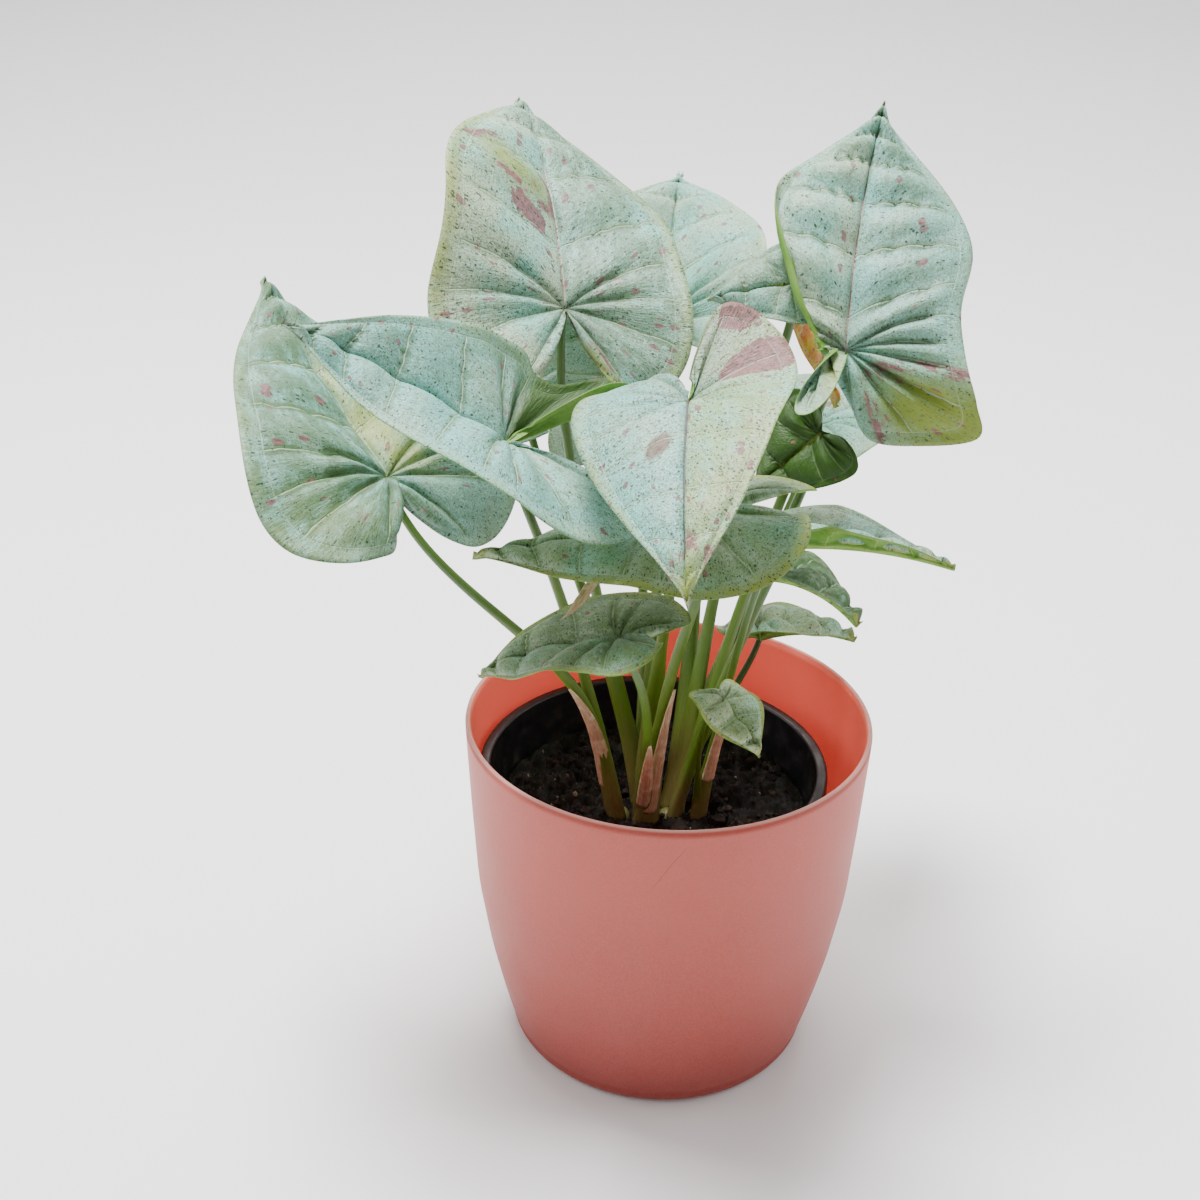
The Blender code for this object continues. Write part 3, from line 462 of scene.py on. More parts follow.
def sheet_faces(triangles, edge, count):
    """Triangles of a sheet's two faces and its rim. The lower face's points follow the upper's."""
    after = np.roll(edge, -1)
    rim = np.concatenate([
        np.column_stack([after, edge, edge + count]),
        np.column_stack([after, edge + count, after + count])])
    return np.concatenate([triangles, triangles[:, ::-1] + count, rim])


def point_normals(points, triangles):
    """Mean direction out of the surface at each point."""
    corners = points[triangles]
    face = np.cross(corners[:, 1] - corners[:, 0], corners[:, 2] - corners[:, 0])
    normals = np.zeros_like(points)
    for k in range(3):
        np.add.at(normals, triangles[:, k], face)
    return normals / np.maximum(np.linalg.norm(normals, axis=1), 1e-9)[:, None]


# Blades


def leaf_values(leaf):
    """A blade's entry with the shape and look that it shares with the others."""
    return {**COMMON, **leaf}


def leaf_frame(leaf):
    """Columns: along the midrib, to the left of it, and out of the upper face, at the junction."""
    heading, pitch, roll = np.radians([leaf["heading"], leaf["pitch"], leaf["roll"]])
    along = np.array([np.cos(pitch) * np.cos(heading), np.cos(pitch) * np.sin(heading), np.sin(pitch)])
    left = np.array([-np.sin(heading), np.cos(heading), 0.0])
    up = np.cross(along, left)
    left, up = left * np.cos(roll) + up * np.sin(roll), up * np.cos(roll) - left * np.sin(roll)
    return np.column_stack([along, left, up])


def bump(share, middle, reach):
    """1 round the middle, falling steeply to 0 beyond the reach."""
    return np.exp(-(((share - middle) / reach) ** 4))


def half_blade(leaf, rows, columns, side):
    """Half of a blade as a grid of points in mm, with its flat places.

    Each row is one side vein. It leaves the midrib, or in the lobe the junction, and runs to the
    margin. On its way it rises and falls by an angle that is a fold, plus a curl that grows
    outwards, plus a wave along the margin, plus rolled stretches of the margin. The half is then
    carried on the midrib, which droops, sweeps and twists towards the tip.
    """
    hand = "left" if side > 0 else "right"
    length = leaf["length"]
    half_width = leaf["width"] / 2 * leaf["wide_" + hand]
    outline = smooth_path(leaf["outline_" + hand], rows)
    along = outline[:, :1]
    margin_x = np.where(along < 0, along * leaf["lobe"], along) * length
    margin_y = outline[:, 1:] * half_width * (1 + leaf["blunt"] * bump(rows, 0.2, 0.16))[:, None]
    root_x = np.maximum(0, (along - FAN_SHARE) / (1 - FAN_SHARE)) * length
    for middle, reach, share in leaf["trims_" + hand]:
        keep = 1 - share * bump(rows, middle, reach)[:, None]
        margin_x = root_x + (margin_x - root_x) * keep
        margin_y = margin_y * keep
    b = np.asarray(columns)[None, :]
    a = np.asarray(rows)[:, None]
    span = np.hypot(margin_x - root_x, margin_y)
    bow = 0.29 * span * b * (1 - b) * np.clip(along + 0.3, 0, 1)
    x = root_x + (margin_x - root_x) * b + bow
    y = margin_y * b
    wave_place = leaf["waves"] * a + leaf["phase"] + (0.37 if side > 0 else 0.0)
    fold, curl = (smooth_path(leaf[key + hand], rows)[:, None] for key in ("fold_", "curl_"))
    wave = leaf["wave"] * np.sin(2 * np.pi * wave_place) * b
    angle = fold + curl * b + wave * np.minimum(1, margin_y / half_width * 2)
    for start, end, edge_start, edge_end, turn in leaf["rolls_" + hand]:
        share = np.clip((a - start) / (end - start), 0, 1)
        crease = edge_start + (edge_end - edge_start) * share
        strength = bump(a, (start + end) / 2, (end - start) / 2)
        angle = angle + turn * strength * np.clip((b - crease) / 0.3, 0, 1)
    angle = np.radians(angle)
    step_x, step_y = np.diff(x, axis=1), np.diff(y, axis=1)
    middle_angle = 0.5 * (angle[:, 1:] + angle[:, :-1])
    start = np.zeros_like(x[:, :1])
    flat_x = x[:, :1] + np.hstack([start, np.cumsum(step_x * np.cos(middle_angle), axis=1)])
    flat_y = np.hstack([start, np.cumsum(step_y * np.cos(middle_angle), axis=1)])
    height = np.hstack([start, np.cumsum(np.hypot(step_x, step_y) * np.sin(middle_angle), axis=1)])
    points = carry_on_midrib(leaf, flat_x, side * flat_y, height)
    flat = np.stack([x, side * y], axis=-1)
    place = np.stack([np.broadcast_to(side * b, x.shape), np.broadcast_to(a, x.shape)], axis=-1)
    return points, flat, place, np.broadcast_to(span, x.shape)


def carry_on_midrib(leaf, x, y, height):
    """Bend blade points along the midrib's curve and set them at the junction."""
    stations = np.linspace(-0.7, 1.1, 80) * leaf["length"]
    share = np.maximum(stations / leaf["length"], 0)
    droop, sweep, twist = (math.radians(leaf[key]) * share for key in ("droop", "sweep", "twist"))
    zero = np.zeros_like(share)
    along = np.column_stack([np.cos(droop) * np.cos(sweep), np.cos(droop) * np.sin(sweep), -np.sin(droop)])
    steps = 0.5 * (along[1:] + along[:-1]) * np.diff(stations)[:, None]
    rib = np.vstack([np.zeros(3), np.cumsum(steps, axis=0)])
    rib = rib - [np.interp(0, stations, rib[:, k]) for k in range(3)]
    left = np.column_stack([-np.sin(sweep), np.cos(sweep), zero])
    up = np.cross(along, left)
    turned_left = left * np.cos(twist)[:, None] + up * np.sin(twist)[:, None]
    turned_up = up * np.cos(twist)[:, None] - left * np.sin(twist)[:, None]

    def at(values):
        return np.stack([np.interp(x, stations, values[:, k]) for k in range(3)], axis=-1)

    points = at(rib) + at(turned_left) * y[..., None] + at(turned_up) * height[..., None]
    return points @ leaf_frame(leaf).T + np.array(leaf["at"], float)


def blade_surface(leaf):
    """Grid of the whole blade, right margin to left margin, with its flat places and shares."""
    rows = np.linspace(0, 1, BLADE_ROWS)
    columns = np.linspace(0, 1, BLADE_COLUMNS) ** 1.15
    right = half_blade(leaf, rows, columns, -1)
    left = half_blade(leaf, rows, columns, 1)
    return [np.concatenate([r[:, ::-1], l[:, 1:]], axis=1) for r, l in zip(right, left)]


def blade_triangles(rows, columns, fan_row):
    """Triangles of the grid with the tip and the junction each made one point, and its edge loop."""
    middle = columns // 2
    number = np.arange(rows * columns).reshape(rows, columns)
    number[0, :] = number[0, 0]
    number[fan_row:, middle] = number[fan_row, middle]
    a, b, c, d = number[:-1, :-1], number[1:, :-1], number[1:, 1:], number[:-1, 1:]
    right = np.arange(columns - 1)[None, :] < middle
    right = np.broadcast_to(right, a.shape)[..., None]
    first = np.where(right, np.stack([a, b, c], -1), np.stack([a, b, d], -1)).reshape(-1, 3)
    second = np.where(right, np.stack([a, c, d], -1), np.stack([b, c, d], -1)).reshape(-1, 3)
    triangles = np.concatenate([first, second])
    same = (triangles[:, 0] == triangles[:, 1]) | (triangles[:, 1] == triangles[:, 2])
    same |= triangles[:, 0] == triangles[:, 2]
    edge = np.concatenate([number[:, 0], number[-1, 1:], number[-2:0:-1, -1]])
    return triangles[~same][:, ::-1], edge[::-1]


def row_gap(flat):
    """Distance in mm between rows one whole unit apart, at each grid point."""
    steps = np.gradient(flat, axis=0) * (flat.shape[0] - 1)
    return np.hypot(steps[..., 0], steps[..., 1])


def vein_number(leaf, across, row):
    """Place among the side veins: whole on a vein. They bend towards the stalk near the tip.

    The veins of a lobe stand further apart than those between the stalk and the tip.
    """
    bent = row - 0.08 * across * np.clip(1 - row / 0.6, 0, 1)
    return leaf["veins"] * (np.minimum(bent, LOBE_ROW) + LOBE_VEINS * np.maximum(bent - LOBE_ROW, 0))


def blade_relief(leaf, flat, across, row, run, gap, height):
    """Swelling in mm: a rounded pillow between side veins, grooves on the midrib and edge vein.

    The pillow is a root of the sine of the place between two veins, times a dome across the
    half, and grows with the distance between the veins. A layered noise makes it uneven.
    """
    inner = np.clip(across / EDGE_VEIN, 0, 1)
    dome = np.clip(np.sin(np.pi * inner**0.8), 0, 1) ** 0.6
    pillow = np.abs(np.sin(np.pi * vein_number(leaf, across, row))) ** 0.65
    size = np.minimum(1.0, gap / leaf["veins"] / 5.5) ** 0.8
    swell = height * leaf["quilt"] * pillow * dome * size
    fine = layered_noise(flat[..., 0] / 9 + 31, flat[..., 1] / 9 + 17, 3, 3)
    swell = swell + 0.22 * leaf["quilt"] * fine * dome
    rib = -0.45 * np.exp(-((across * run / 1.1) ** 2))
    crease = -0.28 * np.exp(-(((across - EDGE_VEIN) * run / 0.9) ** 2)) * np.minimum(1, run / 15)
    return swell + rib + crease


def keel(across, row, run, width):
    """Raised rib on the lower face: a rounded ridge that thins towards the tip."""
    size = 0.25 + 0.75 * np.clip(row / 0.45, 0, 1)
    return width * size * np.exp(-((across * run / (1.1 * size)) ** 2))


def patch_shares(leaf, side, across, row):
    """Strength of each kind of coloured patch: flat-topped spots in row and column."""
    shares = {kind: np.zeros_like(row) for kind in PATCH_KINDS}
    for kind, hand, middle, column, reach, width, strength in leaf["patches"]:
        spot = np.exp(-(np.abs((row - middle) / reach) ** 3))
        spot = spot * np.exp(-(np.abs((across - column) / width) ** 3))
        shares[kind] = np.maximum(shares[kind], strength * spot * (side == hand))
    return shares


def sage_share(leaf, across, row, seed):
    """Green fields that hug one side of each side vein, stronger in some fields than others."""
    rng = np.random.default_rng(seed)
    strengths = rng.uniform(0.35, 1.5, leaf["veins"] + 2)
    place = vein_number(leaf, across, row)
    field = np.clip(place.astype(int), 0, leaf["veins"] + 1)
    part = place - field
    slope = np.sin(np.pi * np.clip(part, 0, 1)) ** 1.3 * (0.35 + 0.65 * part)
    dome = np.exp(-(((across - 0.55) / 0.36) ** 4))
    return leaf["sage"] * strengths[field] * slope * dome


def blade_shares(leaf, seed, side, across, row):
    """Strength of each ground and patch at each point, from the blade's entry."""
    shares = patch_shares(leaf, side, across, row)
    shares["sage"] = np.maximum(shares["sage"], sage_share(leaf, across, row, seed))
    all_over = 0.25 * (leaf["warm"] > 0.8)
    margin = bump(across, 1.0, 0.10) * 0.9 + bump(row, 0.0, 0.10) * 0.5 + all_over
    shares["warm"] = np.maximum(shares["warm"], leaf["warm"] * margin)
    for name, key in (("blue", "blue"), ("leaf_dusk", "darker_green_and_shade")):
        left, right = np.broadcast_to(leaf[key], 2)
        shares[name] = np.where(side > 0, left, right)
    return shares


def make_blade(name, leaf, seed, settings, materials):
    """Blade with two faces and a rim, half its thickness to each side of its middle surface."""
    points, flat, place, run = blade_surface(leaf)
    rows, columns = run.shape
    fan_row = int(np.argmax(smooth_path(OUTLINE, np.linspace(0, 1, rows))[:, 0] <= FAN_SHARE))
    triangles, edge = blade_triangles(rows, columns, fan_row)
    side = np.sign(place[..., 0])
    across = np.abs(place[..., 0])
    row = place[..., 1]
    gap = np.maximum(row_gap(flat), 2.0) / np.where(row > LOBE_ROW, LOBE_VEINS, 1.0)
    middle = points.reshape(-1, 3)
    normals = point_normals(middle, triangles)
    relief = blade_relief(leaf, flat, across, row, run, gap, settings.quilt / MM).reshape(-1, 1)
    half = settings.thickness / MM / 2 * (1 - 0.6 * bump(across, 1.0, 0.12)).reshape(-1, 1)
    ridge = keel(across, row, run, 0.9 * leaf["thin"]).reshape(-1, 1)
    both = np.vstack([middle + normals * (relief + half), middle + normals * (relief - half - ridge)])
    count = len(middle)
    faces = sheet_faces(triangles, edge, count)
    index = np.arange(len(faces)) >= len(triangles)
    used, faces = np.unique(faces, return_inverse=True)
    piece = new_piece(name.replace("leaf_", "blade_"), both[used], faces.reshape(-1, 3), materials, index)

    def on_both(values):
        return np.tile(values.reshape(count, -1), (2, 1))[used]

    add_map(piece, "vein_map", on_both(place * (0.5, 1.0) + (0.5, 0.0)))
    add_map(piece, "flat_map", on_both(flat / 100 + (3.7 * seed, 0.0)))
    shares = blade_shares(leaf, seed, side, across, row)
    shares.update(vein_gap=gap, vein_run=run, vein_place=vein_number(leaf, across, row) + leaf["veins"])
    for share, values in shares.items():
        add_share(piece, share, on_both(values))
    looks = ("green", "yellow", "speckled", "rosy_rib", "pink", "sage")
    whole = {"leaf_" + key: leaf[key] for key in looks}
    whole.update(leaf_seed=seed, vein_count=leaf["veins"])
    for share, value in whole.items():
        add_share(piece, share, np.full(len(used), float(value)))
    finish_piece(piece, "leaf", name)


# Petioles and sheaths


def petiole_path(leaf, foot, rings):
    """Cubic curve from inside the plantlet's stem up to the blade at its junction."""
    along, _, up = leaf_frame(leaf).T
    rise = math.radians(leaf["rise"])
    end_way = along * math.cos(rise) + up * math.sin(rise)
    start = np.array([foot[0], foot[1], SOIL_TOP + 1.0])
    end = np.array(leaf["at"], float) - up * 0.4
    out = end[:2] - start[:2]
    out = out / max(np.linalg.norm(out), 1e-6)
    lean = math.radians(leaf["lean"])
    start_way = np.array([out[0] * math.sin(lean), out[1] * math.sin(lean), math.cos(lean)])
    start = start + np.array([out[0], out[1], 0.0]) * 1.6
    reach = np.linalg.norm(end - start)
    t = np.linspace(0, 1, rings)[:, None]
    aside = np.array([*leaf["bend"], 0.0]) * np.sin(np.pi * t) ** 2
    return aside + (
        (2 * t**3 - 3 * t**2 + 1) * start + (t**3 - 2 * t**2 + t) * start_way * reach * leaf["spring"]
        + (3 * t**2 - 2 * t**3) * end + (t**3 - t**2) * end_way * reach * leaf["arrive"])


def path_frames(path, side):
    """Direction of the path at each point and two directions square to it, turned little."""
    way = np.gradient(path, axis=0)
    way = way / np.linalg.norm(way, axis=1)[:, None]
    sides = np.broadcast_to(np.asarray(side, float), path.shape)
    sides = sides - way * np.sum(sides * way, axis=1)[:, None]
    sides = sides / np.linalg.norm(sides, axis=1)[:, None]
    return way, sides, np.cross(way, sides)


def capped_tube(path, outline, side):
    """Closed tube: the outline (rings, sides, 2) in mm is carried along the path and capped by points."""
    _, first, second = path_frames(path, side)
    points = path[:, None] + first[:, None] * outline[..., :1] + second[:, None] * outline[..., 1:]
    return np.vstack([points.reshape(-1, 3), path[:1], path[-1:]]), capped_rings(*outline.shape[:2])


def along_tube(share, sides):
    """How far along a capped tube each of its points is: share at each ring, 0 and 1 at its caps."""
    return np.append(np.repeat(share, sides), [0, 1])


def round_tube(rings, sides):
    """How far round a capped tube each of its points is, from 1 down to 0 and back."""
    return np.append(np.tile(np.abs(np.linspace(-1, 1, sides)), rings), [0, 0])


def petiole_radius(leaf, share):
    """A petiole narrows evenly from its foot to its blade."""
    return leaf["thick"] + (leaf["thin"] - leaf["thick"]) * share


def petiole_outline(leaf, rings, sides):
    """Cross-section: a circle that narrows upwards, wider at its sheathed foot, with a groove inside."""
    t = np.linspace(0, 1, rings)[:, None]
    angle = circle(sides)[None, :]
    sheath = np.clip(1 - t / 0.34, 0, 1) ** 0.7
    groove = np.exp(-((np.angle(np.exp(1j * (angle - np.pi))) / 0.55) ** 2))
    shape = petiole_radius(leaf, t) * (1 - 0.20 * groove * (0.4 + 0.6 * sheath))
    x = shape * np.cos(angle) * (1 + 0.20 * sheath)
    y = shape * np.sin(angle) * (1 + 1.15 * sheath)
    return np.stack([x, y], axis=-1)


def short_stem(plantlet):
    """Foot of a plantlet in the soil: a round stub with a domed top."""
    heights = np.array([-11.5, -6.0, -1.0, 1.0, 2.5, 3.5])
    radii = plantlet["radius"] * np.array([0.9, 0.97, 1.0, 0.92, 0.7, 0.3])
    path = np.column_stack([np.tile(plantlet["foot"], (len(heights), 1)), SOIL_TOP + heights])
    angle = circle(20)
    ring = np.stack([np.cos(angle), np.sin(angle)], axis=-1)
    return capped_tube(path, ring[None] * radii[:, None, None], (1.0, 0.0, 0.0))


def make_petioles(name, plantlet, leaves, material):
    """All petioles of a plantlet and its short stem as one piece."""
    rings, sides = 61, 16
    foot = np.array(plantlet["foot"])
    share = along_tube(np.linspace(0, 1, rings), sides)
    parts = []
    for number, leaf in enumerate(leaves):
        out = np.array([*(np.array(leaf["at"][:2]) - foot), 0.0])
        outline = petiole_outline(leaf, rings, sides)
        tube, faces = capped_tube(petiole_path(leaf, foot, rings), outline, out / np.linalg.norm(out))
        parts.append((tube, faces, share, np.column_stack([round_tube(rings, sides) + number, share * 2])))
    tube, faces = short_stem(plantlet)
    parts.append((tube, faces, np.zeros(len(tube)), np.zeros((len(tube), 2))))
    points, faces, shares, maps = zip(*parts)
    starts = np.cumsum([0] + [len(each) for each in points])
    triangles = np.concatenate([each + start for each, start in zip(faces, starts)])
    piece = new_piece("petioles_" + name, np.vstack(points), triangles, [material])
    add_share(piece, "stalk_share", np.concatenate(shares))
    add_map(piece, "stalk_map", np.concatenate(maps))
    finish_piece(piece, "stem", "stem_" + name)


def make_sheath(name, sheath, leaf, foot, seed, material):
    """Papery shell round the outer side of a petiole, ragged and narrowing to a point at its top."""
    rows, columns = 41, 17
    half_thickness = 0.16
    path = petiole_path(leaf, foot, 120)
    stations = np.linspace(sheath["start"] - SHEATH_TAIL, sheath["end"], rows)
    place = stations * (len(path) - 1)
    centre = np.stack([np.interp(place, np.arange(len(path)), path[:, k]) for k in range(3)], axis=-1)
    facing = math.radians(sheath["facing"])
    _, out, side = path_frames(centre, (math.cos(facing), math.sin(facing), 0.0))
    share = np.linspace(0, 1, rows)[:, None]
    across = np.linspace(-1, 1, columns)[None, :]
    ragged = 0.5 * layered_noise(across * 2.1 + 5, share * 7, seed)
    radius = petiole_radius(leaf, stations[:, None]) + 0.9 + sheath["flare"] * share**2
    radius = radius + 0.25 * ragged + 0.12 * np.sin(14 * across)
    angle = np.radians(sheath["spread"]) * np.clip(1.03 - share, 0, 1) ** 0.8 * across
    ring = out[:, None] * np.cos(angle)[..., None] + side[:, None] * np.sin(angle)[..., None]
    middle = (centre[:, None] + ring * radius[..., None]).reshape(-1, 3)
    triangles = grid_triangles(rows, columns, flip=True)
    thick = point_normals(middle, triangles) * half_thickness
    number = np.arange(rows * columns).reshape(rows, columns)
    edge = np.concatenate([number[0], number[1:, -1], number[-1, -2::-1], number[-2:0:-1, 0]])
    faces = sheet_faces(triangles, edge, len(middle))
    both = np.vstack([middle + thick, middle - thick])
    piece = new_piece(name.replace("sheath", "dry_sheath"), both, faces, [material])
    over, along = np.broadcast_arrays(across, share * 2)
    add_map(piece, "stalk_map", np.tile(np.column_stack([over.ravel(), along.ravel()]), (2, 1)))
    finish_piece(piece, "dry_sheath", name)


def make_dry_shoot(path, material):
    """Withered shoot: a flat tube that swells, narrows to its tip and twists along its path."""
    rings, sides = 44, 12
    share = np.linspace(0, 1, rings)[:, None]
    angle = circle(sides)[None, :]
    width = 1.55 * np.sin(np.pi * (0.14 + 0.84 * share)) ** 0.8
    width = width * (1 + 0.22 * layered_noise(share * 6, angle * 0.6, 77))
    x = width * np.cos(angle)
    y = 0.34 * width * np.sin(angle) + 0.30 * width * np.cos(angle) ** 2
    turn = 2.4 * share
    outline = np.stack([x * np.cos(turn) - y * np.sin(turn), x * np.sin(turn) + y * np.cos(turn)], axis=-1)
    points, triangles = capped_tube(smooth_path(path, share[:, 0]), outline, (0.0, 0.0, 1.0))
    piece = new_piece("dry_shoot", points, triangles, [material])
    along = along_tube(share[:, 0], sides) * 2
    add_map(piece, "stalk_map", np.column_stack([round_tube(rings, sides), along]))
    finish_piece(piece, "dry_sheath")


# Pots and soil


def turned_piece(name, profile, sides, material, centre=(0.0, 0.0), base=0.0):
    """Closed solid turned about the vertical from a profile that starts and ends on the axis."""
    profile = np.asarray(profile, float)
    angle = circle(sides)[None, :]
    ring = profile[1:-1]
    x = ring[:, :1] * np.cos(angle) + centre[0]
    y = ring[:, :1] * np.sin(angle) + centre[1]
    z = np.repeat(ring[:, 1:] + base, sides, axis=1)
    points = np.stack([x, y, z], axis=-1).reshape(-1, 3)
    poles = [(*centre, profile[0, 1] + base), (*centre, profile[-1, 1] + base)]
    return new_piece(name, np.vstack([points, poles]), capped_rings(len(ring), sides), [material])


def arc(centre, radius, start, end, steps):
    """Points on an arc in the profile's plane, angles in degrees."""
    angles = np.radians(np.linspace(start, end, steps))
    return np.column_stack([centre[0] + radius * np.cos(angles), centre[1] + radius * np.sin(angles)])


def planter_wall_radius(height):
    """Outer radius of the planter at a height, in mm: a soft opening curve."""
    heights = np.array([0, 4.1, 10.9, 21.8, 40.9, 68.0, 102.0, PLANTER_HEIGHT])
    radii = np.array([56.2, 58.1, 60.1, 62.8, 67.0, 71.2, 73.3, PLANTER_RIM])
    return np.interp(height, heights, radii)


def smooth_wall(heights):
    """Wall radius smoothed by a running mean, so that no ring shows a corner."""
    spans = np.linspace(-6, 6, 13)
    return np.mean([planter_wall_radius(np.clip(heights + s, 0, PLANTER_HEIGHT)) for s in spans], axis=0)


def planter_profile(settings):
    """Profile of the shell: rounded foot, outer wall, round rim, inner wall and a 3 mm floor."""
    height = settings.height / MM
    wall = settings.wall / MM
    scale = settings.rim_radius / MM / PLANTER_RIM
    z = np.linspace(5.0, height - 1.0, 60)
    outer = np.column_stack([smooth_wall(z * PLANTER_HEIGHT / height) * scale, z])
    foot = arc((outer[0, 0] - 4.4, 4.6), 4.6, -90, -8, 10)
    rim = arc((outer[-1, 0] - wall / 2, height - 1.0), wall / 2, 0, 180, 9)
    inner = outer[::-1] - (wall, 0)
    inner = inner[inner[:, 1] > 7.5]
    floor = arc((inner[-1, 0] - 4.2, 7.2), 4.2, -10, -90, 8)
    return np.vstack([[(0, 0)], foot, outer, rim, inner, floor, [(0, 3.0)]])


def pot_profile(settings):
    """Profile of the nursery pot: tapered wall, a lip turned outwards over it, and a thin floor."""
    height = settings.height / MM
    lip = settings.lip_radius / MM
    neck = height - 7.7

    def wall_radius(z):
        return POT_FOOT + (POT_NECK - POT_FOOT) * z / neck

    low = np.linspace(1.2, neck - 1.5, 30)
    wall = np.column_stack([wall_radius(low), low])
    lips = np.vstack([
        [(POT_NECK, neck - 0.6)], arc((lip - 0.8, neck + 1.2), 0.8, -90, 0, 5),
        arc((lip - 1.1, height - 1.1), 1.1, 0, 90, 7), arc((lip - 3.2, height - 1.0), 1.0, 90, 180, 6),
        [(lip - 4.3, height - 2.6)]])
    up = np.linspace(height - 5.0, 3.0, 40)
    inner = np.column_stack([wall_radius(np.minimum(up, neck)) - 1.2 + 0.25 * (up > neck), up])
    foot = [(0, 0), (POT_FOOT - 1.2, 0), (POT_FOOT - 0.4, 0.3)]
    return np.vstack([foot, wall, lips, inner, [(inner[-1, 0] - 1.2, 2.0)], [(0, 2.0)]])


def soil_top(x, y, lump):
    """Height of the soil: broad humps, small clods, and a low mound round the clump."""
    near = np.exp(-(((x + 6) / 22) ** 2 + ((y + 11) / 16) ** 2))
    humps = lattice_noise(x / 14 + 9, y / 14 + 4, 21)
    clods = 0.9 - 2.2 * np.abs(layered_noise(x / 5.5, y / 5.5, 5, 5))
    grains = layered_noise(x / 1.1, y / 1.1, 9, 2)
    return SOIL_TOP + 1.0 * near + 1.1 * humps + lump * (clods + 0.28 * grains)


def make_soil_bed(settings, material):
    """Round bed of soil: its lumpy top is a grid of rings, and its sides narrow to a flat floor."""
    centre = np.array(POT_CENTRE)
    rings, sides = 120, 260
    share = np.linspace(1, 0.004, rings)[:, None]
    angle = circle(sides)[None, :]
    x = centre[0] + SOIL_RADIUS * share * np.cos(angle)
    y = centre[1] + SOIL_RADIUS * share * np.sin(angle)
    edge = np.clip((1 - share) / 0.05, 0, 1)
    z = SOIL_TOP - 2.0 + (soil_top(x, y, settings.lump / MM) - SOIL_TOP + 2.0) * edge
    top = np.stack([x, y, z], axis=-1)
    floor = np.full((1, sides), SOIL_FLOOR)
    low = np.stack([x[:1] * 0.9 + centre[0] * 0.1, y[:1] * 0.9 + centre[1] * 0.1, floor], axis=-1)
    points = np.concatenate([low, top]).reshape(-1, 3)
    poles = [(*centre, SOIL_FLOOR), (*centre, z[-1].mean())]
    piece = new_piece("soil_bed", np.vstack([points, poles]), capped_rings(rings + 1, sides), [material])
    finish_piece(piece, "soil", "soil")


def make_crumbs(settings, material):
    """Loose crumbs: rough balls whose radius is a noise over the ball, scattered by a seeded draw."""
    rng = np.random.default_rng(12)
    count = settings.crumbs
    radius = CRUMB_REACH * np.sqrt(rng.uniform(0, 1, count))
    turn = rng.uniform(0, 2 * np.pi, count)
    x = POT_CENTRE[0] + radius * np.cos(turn)
    y = POT_CENTRE[1] + radius * np.sin(turn)
    size = rng.uniform(0.5, 1.0, count) ** 2 * rng.choice([1.0, 1.8, 3.0], count, p=[0.55, 0.33, 0.12])
    z = soil_top(x, y, settings.lump / MM) + size * 0.15
    rows, sides = 4, 6
    up = np.linspace(0.18, np.pi - 0.18, rows)[None, :, None]
    around = circle(sides)[None, None, :]
    rough = 1 + 0.28 * rng.uniform(-1, 1, (count, rows, sides))
    stretch = rng.uniform(0.6, 1.3, (count, 3))
    ball = np.stack([
        np.sin(up) * np.cos(around) * rough, np.sin(up) * np.sin(around) * rough,
        np.cos(up) * rough], axis=-1) * (size[:, None] * stretch)[:, None, None, :]
    ball = ball + np.column_stack([x, y, z])[:, None, None, :]
    each = rows * sides
    k = np.arange(1, sides - 1)
    one = np.concatenate([
        grid_triangles(rows, sides, closed=True),
        np.column_stack([np.zeros_like(k), k, k + 1]),
        np.column_stack([np.zeros_like(k), k + 1, k]) + (rows - 1) * sides])
    triangles = (one[None] + (np.arange(count) * each)[:, None, None]).reshape(-1, 3)
    piece = new_piece("soil_crumbs", ball.reshape(-1, 3), triangles, [material])
    piece.data.shade_flat()
    add_share(piece, "crumb_tone", np.repeat(rng.uniform(0, 1, count), each))
    finish_piece(piece, "soil")


# Materials


